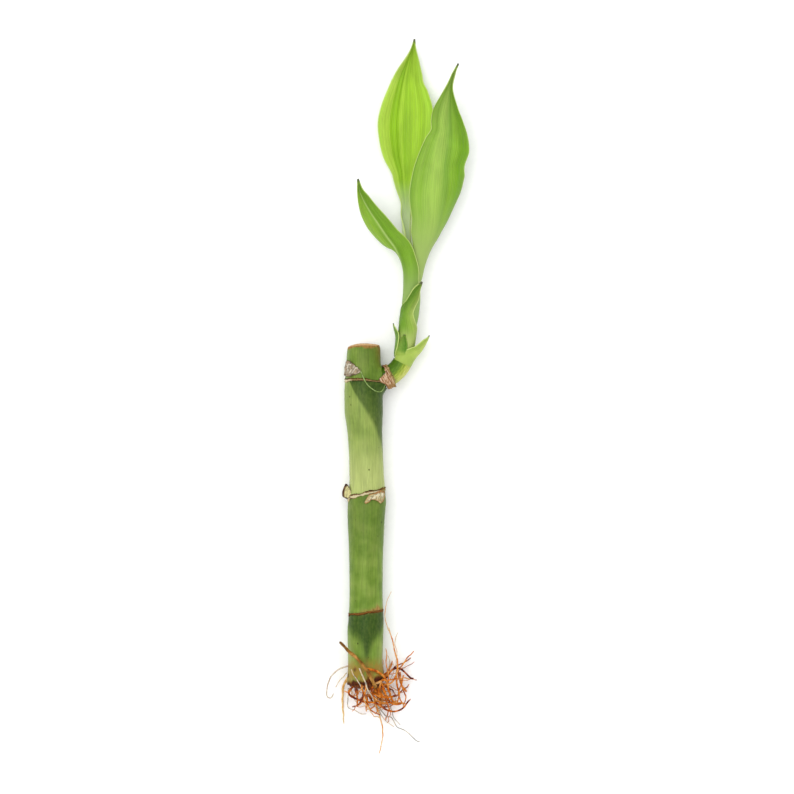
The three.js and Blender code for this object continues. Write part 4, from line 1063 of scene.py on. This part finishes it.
LAID_ROOTS = [
    (0.44, 0.32, 0.3, [(-0.4, -55.2, 12.4), (2.8, -56, 11.9), (5.6, -58, 9.5), (7.2, -60.4, 8),
                       (8, -64.4, 6.6), (9.6, -67.2, 4.9), (13.4, -67.6, 3.2)]),
    (0.46, 0.3, 0.2, [(4.8, -59.6, 9), (6, -62.4, 8.6), (7.2, -65.6, 7.4), (8.8, -67.6, 6),
                      (12, -67.8, 4.4)]),
    (0.42, 0.3, 0.04, [(6, -59.6, 6.4), (8, -57.2, 5.6), (9.6, -55.6, 5.1), (12, -56, 4.4),
                       (13.6, -57.6, 3.8), (15.2, -59, 3.2), (16.2, -59, 2.8)]),
    (0.3, 0.16, 0.3, [(13.6, -63.6, 4), (11.6, -60.4, 4.6), (10.8, -56.4, 5), (12, -54.8, 5),
                      (14.4, -51.6, 4.4), (16.2, -49.6, 3.6)]),
    (0.24, 0.12, 0.35, [(7.6, -60.4, 7.4), (7.3, -56.4, 7.2), (6.7, -53.6, 7.2), (7, -51.6, 7),
                        (6.7, -48.8, 7)]),
    (0.13, 0.08, 0.55, [(10, -54.8, 5), (10.4, -50, 4.6), (9.6, -47.2, 4.2), (10.8, -43.6, 3.6)]),
    (0.13, 0.07, 0.5, [(7.6, -43, 7.1), (6.7, -40, 7.2), (6.3, -37.1, 7.6), (7, -33.4, 6.6),
                       (8.6, -29.6, 5.6)]),
    (0.32, 0.24, 0.22, [(10.4, -56, 6), (10.2, -60, 6.4), (11.2, -64, 6), (10.4, -67, 5.4)]),
    (0.3, 0.2, 0.3, [(11.4, -56.8, 5.4), (11.9, -60.4, 5.6), (10.8, -64.4, 5), (12.6, -68, 4)]),
    (0.26, 0.18, 0.26, [(12.6, -58, 4.6), (12, -61.4, 5), (13.4, -65.2, 4.4), (12.4, -68.6, 3.4)]),
    (0.34, 0.24, 0.2, [(-1.6, -60.8, 11.6), (-0.8, -64, 10), (-2.2, -66.2, 8)]),
    (0.34, 0.22, 0.3, [(0.2, -60.6, 11.8), (-0.3, -63.6, 10.6), (0.6, -66.6, 8.6)]),
    (0.32, 0.2, 0.16, [(2.8, -60.4, 11.4), (2, -63.6, 10.2), (4, -66.2, 8)]),
    (0.32, 0.2, 0.34, [(4.8, -60, 10.4), (4.4, -63.6, 9.4), (5.8, -66.2, 7.4)]),
    (0.34, 0.3, 0.26, [(-3.2, -61.6, 8), (-2.9, -65, 6), (-2.8, -68.6, 4.2)]),
    (0.2, 0.13, 0.86, [(-4.9, -55.8, 9.9), (-4, -57.6, 10.9), (-2, -60.4, 12.4), (-1.6, -61.6, 12.2)]),
    (0.24, 0.16, 0.82, [(-2.2, -55.2, 12.2), (-1.2, -57.6, 12.5), (0.4, -61.6, 12.8), (2, -64.8, 11.4),
                        (2.6, -67.4, 9.4)]),
    (0.2, 0.12, 0.78, [(-6.6, -57.2, 6), (-8.8, -59.6, 4), (-10.4, -62.4, 2)]),
    (0.17, 0.12, 0.84, [(-6, -62.4, 4), (-6.2, -66, 2.4), (-6, -69.2, 1.4), (-4, -69.8, 1),
                        (-1.6, -71.2, 0.8), (0, -71.2, 0.6)]),
    (0.15, 0.1, 0.66, [(-5.2, -63, 5), (-4.4, -65.6, 3.4), (-3.2, -67.6, 2)]),
    (0.2, 0.13, 0.98, [(3.6, -67.4, 6), (6.4, -71.6, 3), (8.4, -72.4, 2.2), (10.4, -75.6, 1.4),
                       (12.8, -76.8, 1), (15.2, -78.8, 0.6), (17.2, -80.4, 0.5), (18.4, -80.8, 0.4)]),
    (0.16, 0.1, 0.96, [(8.2, -67.6, 5), (9.2, -72, 2.4), (11.6, -75.2, 1)]),
    (0.16, 0.11, 0.8, [(2.8, -66, 6), (4.6, -70.6, 3.4), (6.6, -73.6, 1.6), (9.6, -76, 0.8)]),
]
YOUNG_ROOTS = [
    (0.28, 0.16, 0, [(-5.6, -54.6, 7.0), (-9.2, -56.0, 6.4), (-12.0, -58.8, 4.6), (-13.2, -62.8, 2.4),
                     (-13.1, -65.4, 1.4), (-11.9, -65.9, 1.2), (-10.9, -64.2, 1.5)]),
    (0.48, 0.18, 1, [(-6.0, -58.8, 3.6), (-7.6, -61.6, 2.2), (-7.9, -66.0, 1.0), (-7.8, -70.0, 0.8),
                     (-7.5, -74.8, 0.8)]),
]
CURLY_ROOTS = {"count": 15, "seed": 8, "headings": (-1.9, 0.75), "lengths": (8, 15), "curls": (-2.6, 2.6),
               "heights": (2.0, 11.0), "steps": 6}
CURLY_RADII = (0.32, 0.18)
STRAND_RADII = (0.18, 0.11)
# The first curly roots lie to the left and keep only this share of their length
SHORT_CURLS = 3
SHORT_SHARE = 0.7
# Thin roots fill the clump. They start in the crown and curl outward, mostly to the right.
THIN_ROOT_COUNT = 17
THIN_RADII = (0.1, 0.2)
WANDER_STEPS = 9
# Short strands hang over the crown's front
FRINGE_COUNT = 10
CROWN_ROUNDS = 40
CROWN_SIDES = 72


def curly_root(draw, turn):
    steps = CURLY_ROOTS["steps"]
    angle = lerp(*CURLY_ROOTS["headings"], turn)
    stride = draw.between(CURLY_ROOTS["lengths"]) / steps
    curl = draw.between(CURLY_ROOTS["curls"]) / steps
    height = draw.between(CURLY_ROOTS["heights"])
    x = crown_x + math.cos(angle) * CROWN_RADIUS / 2
    y = CANE_BASE - CROWN_DEPTH / 2 + math.sin(angle) * CROWN_RADIUS / 2
    path = []
    for step in range(steps + 1):
        share = step / steps
        path.append([x, y, height * (1 - share ** 2) + math.sin(share * math.pi + turn) * ROOT_RADIUS])
        angle += curl
        x += math.cos(angle) * stride
        y += math.sin(angle) * stride
    return np.array(path)


def wandering_root(draw, start, angle, curl, length, fall):
    x, y, height = start
    path = []
    for step in range(WANDER_STEPS + 1):
        share = step / WANDER_STEPS
        path.append([x, y, height * (1 - fall * share ** 1.6) + 0.5 * math.sin(share * 7 + length)])
        angle += curl / WANDER_STEPS + draw.uniform(-0.45, 0.45)
        x += math.cos(angle) * length / WANDER_STEPS
        y += math.sin(angle) * length / WANDER_STEPS
    return np.array(path)


def root_tube(path, start, end, tone, seed, sides=10, steps=64, wiggle=0.12, knots=0.14):
    """Rings round a wavy and knotty path that tapers from start to end, the share along it, and its tone."""
    path = np.array(path, float)
    path[:, 2] = np.maximum(path[:, 2], max(start, end) + 0.04)
    centres, length = even_points(path, steps)
    share = np.linspace(0, 1, steps)
    bends = max(int(length / 1.6), 3)
    for k in range(3):
        centres[:, k] += wiggle * soft_noise(0, share, 1, bends, seed * 3 + k) * np.minimum(share * 6, 1)
    radii = lerp(start, end, share) * (1 + knots * soft_noise(0, share, 1, bends * 2, seed + 900))
    radii = radii * np.sqrt(np.clip((1.0 - share) / 0.035, 0.02, 1))
    centres[:, 2] = np.maximum(centres[:, 2], radii + 0.02)
    lumps = soft_noise(np.arange(sides) / sides, share[:, None], sides // 2, bends * 3, seed + 7)
    return round_rings(centres, radii[:, None] * (1 + 0.08 * lumps)), share, tone


def laid_tubes(rows, seed, **fineness):
    return [root_tube(route, start, end, tone, seed + i, **fineness)
            for i, (start, end, tone, route) in enumerate(rows)]


def join_tubes(name, tubes, material, slot, replaced=None, callus=None):
    """One mesh of many tubes, with the share along each and a tone for each as values."""
    points, faces, along, tones = [], [], [], []
    total = 0
    for rings, share, tone in tubes:
        verts, quads = closed_tube(rings, total)
        total += len(verts)
        points.append(verts)
        faces += quads
        along.append(np.append(np.repeat(share, rings.shape[1]), [0.0, 1.0]))
        tones.append(np.full(len(verts), tone))
    if callus is not None:
        verts, more = closed_tube(callus, total)
        points.append(verts)
        faces += more
        along.append(np.zeros(len(verts)))
        tones.append(np.full(len(verts), CALLUS))
    values = {"along": np.concatenate(along), "tone": np.concatenate(tones)}
    return add_piece(name, np.vstack(points), faces, material, slot, replaced, values)


def crown_rings():
    """Rings of the lumpy callus at the base cut."""
    polar = np.linspace(0.02, math.pi - 0.02, CROWN_ROUNDS)[:, None]
    angle = around(CROWN_SIDES)
    x, y, z = np.sin(polar) * np.cos(angle), np.cos(polar) + 0 * angle, np.sin(polar) * np.sin(angle)
    p = np.stack([x, y, z], axis=-1)
    lump = 1 + 0.07 * (np.sin(p[..., 0] * 7 + 1) * np.cos(p[..., 2] * 6) + np.sin(p[..., 1] * 9))
    lump = lump + 0.06 * soft_noise(angle / TURN, polar / math.pi, 22, 14, 81)
    lump = lump + 0.03 * soft_noise(angle / TURN, polar / math.pi, 50, 26, 82)
    reach = np.array([CROWN_RADIUS, CALLUS_DEPTH, CROWN_RADIUS])
    rings = np.array([crown_x, CANE_BASE, crown_z]) + p * reach * np.minimum(lump, 1.14)[..., None]
    rings[..., 2] = np.maximum(rings[..., 2], 0.1)
    return rings


def build_roots(material):
    """The stout roots, and the curly ones with one thinner strand beside each."""
    draw = SeededRandom(CURLY_ROOTS["seed"])
    tubes = laid_tubes(STOUT_ROOTS, 100)
    shift = np.random.default_rng(5)
    for i in range(CURLY_ROOTS["count"]):
        route = curly_root(draw, (i + draw.next()) / CURLY_ROOTS["count"])
        if i < SHORT_CURLS:
            route = curve_points(route, np.linspace(0, SHORT_SHARE, len(route)))
        tubes.append(root_tube(route, *CURLY_RADII, 0.04 + 0.4 * ((i * 0.381) % 1), 120 + i, wiggle=0.3))
        beside = route + shift.uniform(-1, 1, 3) * 0.5
        beside = beside + np.linspace(0, 1, len(route))[:, None] * shift.uniform(-1, 1, 3) * 1.6
        tone = shift.uniform(0.15, 0.55)
        tubes.append(root_tube(beside, *STRAND_RADII, tone, 140 + i, sides=7, steps=56, wiggle=0.45))
    return join_tubes("root_clump", tubes, material, "root_bark", "roots", crown_rings())


def thin_root(draw, seed):
    angle = draw.uniform(-1.1, 0.6)
    x = crown_x + math.cos(angle) * draw.uniform(2.0, 4.4)
    start = (x, CANE_BASE - 0.8 + math.sin(angle) * 2.0, draw.uniform(1.5, 10.5))
    curl = draw.choice([-1, 1]) * draw.uniform(1.2, 5.0)
    path = wandering_root(draw, start, angle, curl, draw.uniform(6, 15), 1.0)
    path[:, 0] = np.clip(path[:, 0], -9.0, 15.2)
    radius = draw.uniform(*THIN_RADII)
    tone = draw.uniform(0.12, 0.6)
    return root_tube(path, radius, radius * 0.55, tone, seed, sides=7, steps=54, wiggle=0.25, knots=0.1)


def fringe_root(draw, seed):
    aside = draw.uniform(-0.95, 0.98) * CROWN_RADIUS
    height = crown_z + math.sqrt(CROWN_RADIUS ** 2 - aside ** 2) * draw.uniform(0.55, 0.98)
    start = (crown_x + aside, CANE_BASE - draw.uniform(0.2, 1.6) + aside * 0.16, height)
    angle = draw.uniform(-2.0, -0.7)
    curl = draw.uniform(-1.6, 1.6)
    path = wandering_root(draw, start, angle, curl, draw.uniform(3, 6), 0.45)
    radius = draw.uniform(0.15, 0.3)
    tone = draw.uniform(0.1, 0.5)
    return root_tube(path, radius, radius * 0.6, tone, seed, sides=7, steps=34, wiggle=0.2, knots=0.1)


def build_thin_roots(material):
    draw = np.random.default_rng(17)
    tubes = laid_tubes(LAID_ROOTS, 200, sides=8, steps=60, wiggle=0.16)
    tubes += [thin_root(draw, 300 + i) for i in range(THIN_ROOT_COUNT)]
    tubes += [fringe_root(draw, 400 + i) for i in range(FRINGE_COUNT)]
    return join_tubes("thin_roots", tubes, material, "root_bark")


def root_paint():
    paint = Paint("root_bark", roughness=0.5, specular=0.16, subsurface=0.05)
    tone = paint.attribute("tone")
    patch = paint.noise(0.5, 4.0, 0.6)
    fine = paint.noise(3.2, 3.0, 0.6)
    value = paint.add(tone, paint.band(patch, 0.25, 0.75, -0.2, 0.24))
    colour = paint.ramp(value, {
        0.0: (92, 40, 14), 0.1: (146, 70, 22), 0.24: (212, 116, 38), 0.4: (232, 152, 70),
        0.62: (234, 196, 138), 0.84: (230, 214, 184), 1.0: (160, 156, 146),
    })
    olive = paint.ramp(patch, {0.35: (112, 76, 32), 0.5: (154, 108, 50), 0.65: (196, 146, 80)})
    colour = paint.mix(paint.band(tone, 1.2, 1.3), colour, olive)
    colour = paint.shade(colour, fine, 0.72, 1.24)
    callus = paint.ramp(fine, {0.35: (58, 32, 20), 0.5: (100, 56, 30), 0.65: (164, 98, 52)})
    colour = paint.mix(paint.band(tone, -0.5, -0.1, 1.0, 0.0), colour, callus)
    return paint.finish(colour, paint.add(fine, patch), 0.15)


def build_young_roots(material):
    tubes = laid_tubes(YOUNG_ROOTS, 501, sides=14, steps=80, wiggle=0.1, knots=0.12)
    for number, tube in enumerate(tubes, start=1):
        name = f"young_root_{number}"
        join_tubes(name + "_skin", [tube], material, "young_root_skin", name)


def young_root_paint():
    paint = Paint("young_root_cream", roughness=0.5, specular=0.16, subsurface=0.12)
    patch = paint.noise(0.6, 3.0, 0.6)
    fine = paint.noise(3.5, 3.0, 0.6)
    cream = paint.ramp(patch, {0.3: (186, 162, 140), 0.5: (210, 190, 170), 0.7: (228, 212, 192)})
    straw = paint.ramp(patch, {0.3: (208, 148, 80), 0.5: (234, 188, 118), 0.7: (242, 214, 156)})
    colour = paint.mix(paint.attribute("tone"), cream, straw)
    colour = paint.mix(paint.band(paint.attribute("along"), 0.7, 1.0, 0.0, 0.6), colour, (222, 206, 172))
    colour = paint.shade(colour, fine, 0.88, 1.08)
    return paint.finish(colour, fine, 0.1)


# A thin dry fibre that lies across the cane beside the collar: places on the cane, then its two radii
FIBRE_PLACES = [
    (-2.1, 45.0), (-0.9, 42.2), (0.1, 40.3), (1.7, 38.6), (3.6, 37.5), (5.2, 37.5), (6.1, 38.8), (6.7, 40.6),
]
FIBRE_RADII = (0.2, 0.15)
FIBRE_LIFT = 0.24


def skin_height(x, y):
    """The highest point of the cane and its boss above a place on the floor."""
    heights = np.linspace(6, 15, 600)
    points = np.stack([np.full(600, x), np.full(600, y), heights], axis=-1)
    return heights[joined_field(points) < 0].max()


def build_fibre(material):
    path = [[x, y, skin_height(x, y) + FIBRE_LIFT] for x, y in FIBRE_PLACES]
    tube = root_tube(path, *FIBRE_RADII, 0.5, 700, sides=8, steps=90, wiggle=0.04)
    return join_tubes("dry_fibre", [tube], material, "dry_husk")


def fibre_paint():
    paint = Paint("fibre_straw", roughness=0.7, specular=0.25)
    grain = paint.noise(1.2, 3.0, 0.6)
    colour = paint.ramp(grain, {0.35: (124, 150, 84), 0.65: (168, 190, 124)})
    return paint.finish(colour, grain, 0.08)


# Stage: a plain floor, soft studio light, and a camera straight above, in metres but for the view in mm
VIEW_CENTRE = (10.4, 35.6)
VIEW_WIDTH = 268.0
LENS = 200.0
SENSOR = 36.0
FLOOR_HALF = 3.0
WORLD_STRENGTH = 1.1
KEY_PLACE = (-0.35, 0.35, 1.5)
KEY_TARGET = (0.0, 0.03, 0.0)
KEY_SIZE = 1.6
KEY_POWER = 10.4


def add_camera():
    camera = bpy.data.cameras.new("camera")
    camera.lens = LENS
    camera.sensor_width = SENSOR
    camera.clip_end = 20.0
    holder = bpy.data.objects.new("camera", camera)
    height = VIEW_WIDTH * MM * LENS / SENSOR
    holder.location = (VIEW_CENTRE[0] * MM, VIEW_CENTRE[1] * MM, height)
    bpy.context.scene.collection.objects.link(holder)
    bpy.context.scene.camera = holder


def add_floor():
    mesh = bpy.data.meshes.new("floor")
    corners = [(x * FLOOR_HALF, y * FLOOR_HALF, 0) for x, y in ((-1, -1), (1, -1), (1, 1), (-1, 1))]
    mesh.from_pydata(corners, [], [(0, 1, 2, 3)])
    paint = Paint("floor_white", roughness=0.9, specular=0.1)
    brightness = paint.band(paint.noise(0.5, 2.0), 0.3, 0.7, 0.93, 0.95)
    mesh.materials.append(paint.finish(paint.vector(brightness, brightness, brightness)))
    floor = bpy.data.objects.new("floor", mesh)
    bpy.context.scene.collection.objects.link(floor)


def add_world():
    world = bpy.data.worlds.new("studio")
    world.use_nodes = True
    background = world.node_tree.nodes["Background"]
    background.inputs["Color"].default_value = (1.0, 1.0, 1.0, 1.0)
    background.inputs["Strength"].default_value = WORLD_STRENGTH
    bpy.context.scene.world = world


def add_key_light():
    light = bpy.data.lights.new("key", "AREA")
    light.shape = "DISK"
    light.size = KEY_SIZE
    light.energy = KEY_POWER
    lamp = bpy.data.objects.new("key", light)
    lamp.location = KEY_PLACE
    lamp.rotation_euler = (Vector(KEY_TARGET) - Vector(KEY_PLACE)).to_track_quat("-Z", "Y").to_euler()
    bpy.context.scene.collection.objects.link(lamp)


add_camera()
add_floor()
add_world()
add_key_light()
bpy.context.scene.view_settings.view_transform = "Standard"

build_cane(cane_paint())
for ring_name, ring_facts in RINGS.items():
    build_ring(ring_name, ring_facts, ring_paint(ring_name + "_brown", ring_facts))
for scrap_name, scrap_facts in SCRAPS.items():
    build_scrap(scrap_name, scrap_facts, scrap_paint(scrap_name + "_paper", scrap_facts))
build_collar(collar_paint())
build_fibre(fibre_paint())
build_stem(stem_paint())
build_leaves()
build_bracts()
root_bark = root_paint()
build_roots(root_bark)
build_thin_roots(root_bark)
build_young_roots(young_root_paint())
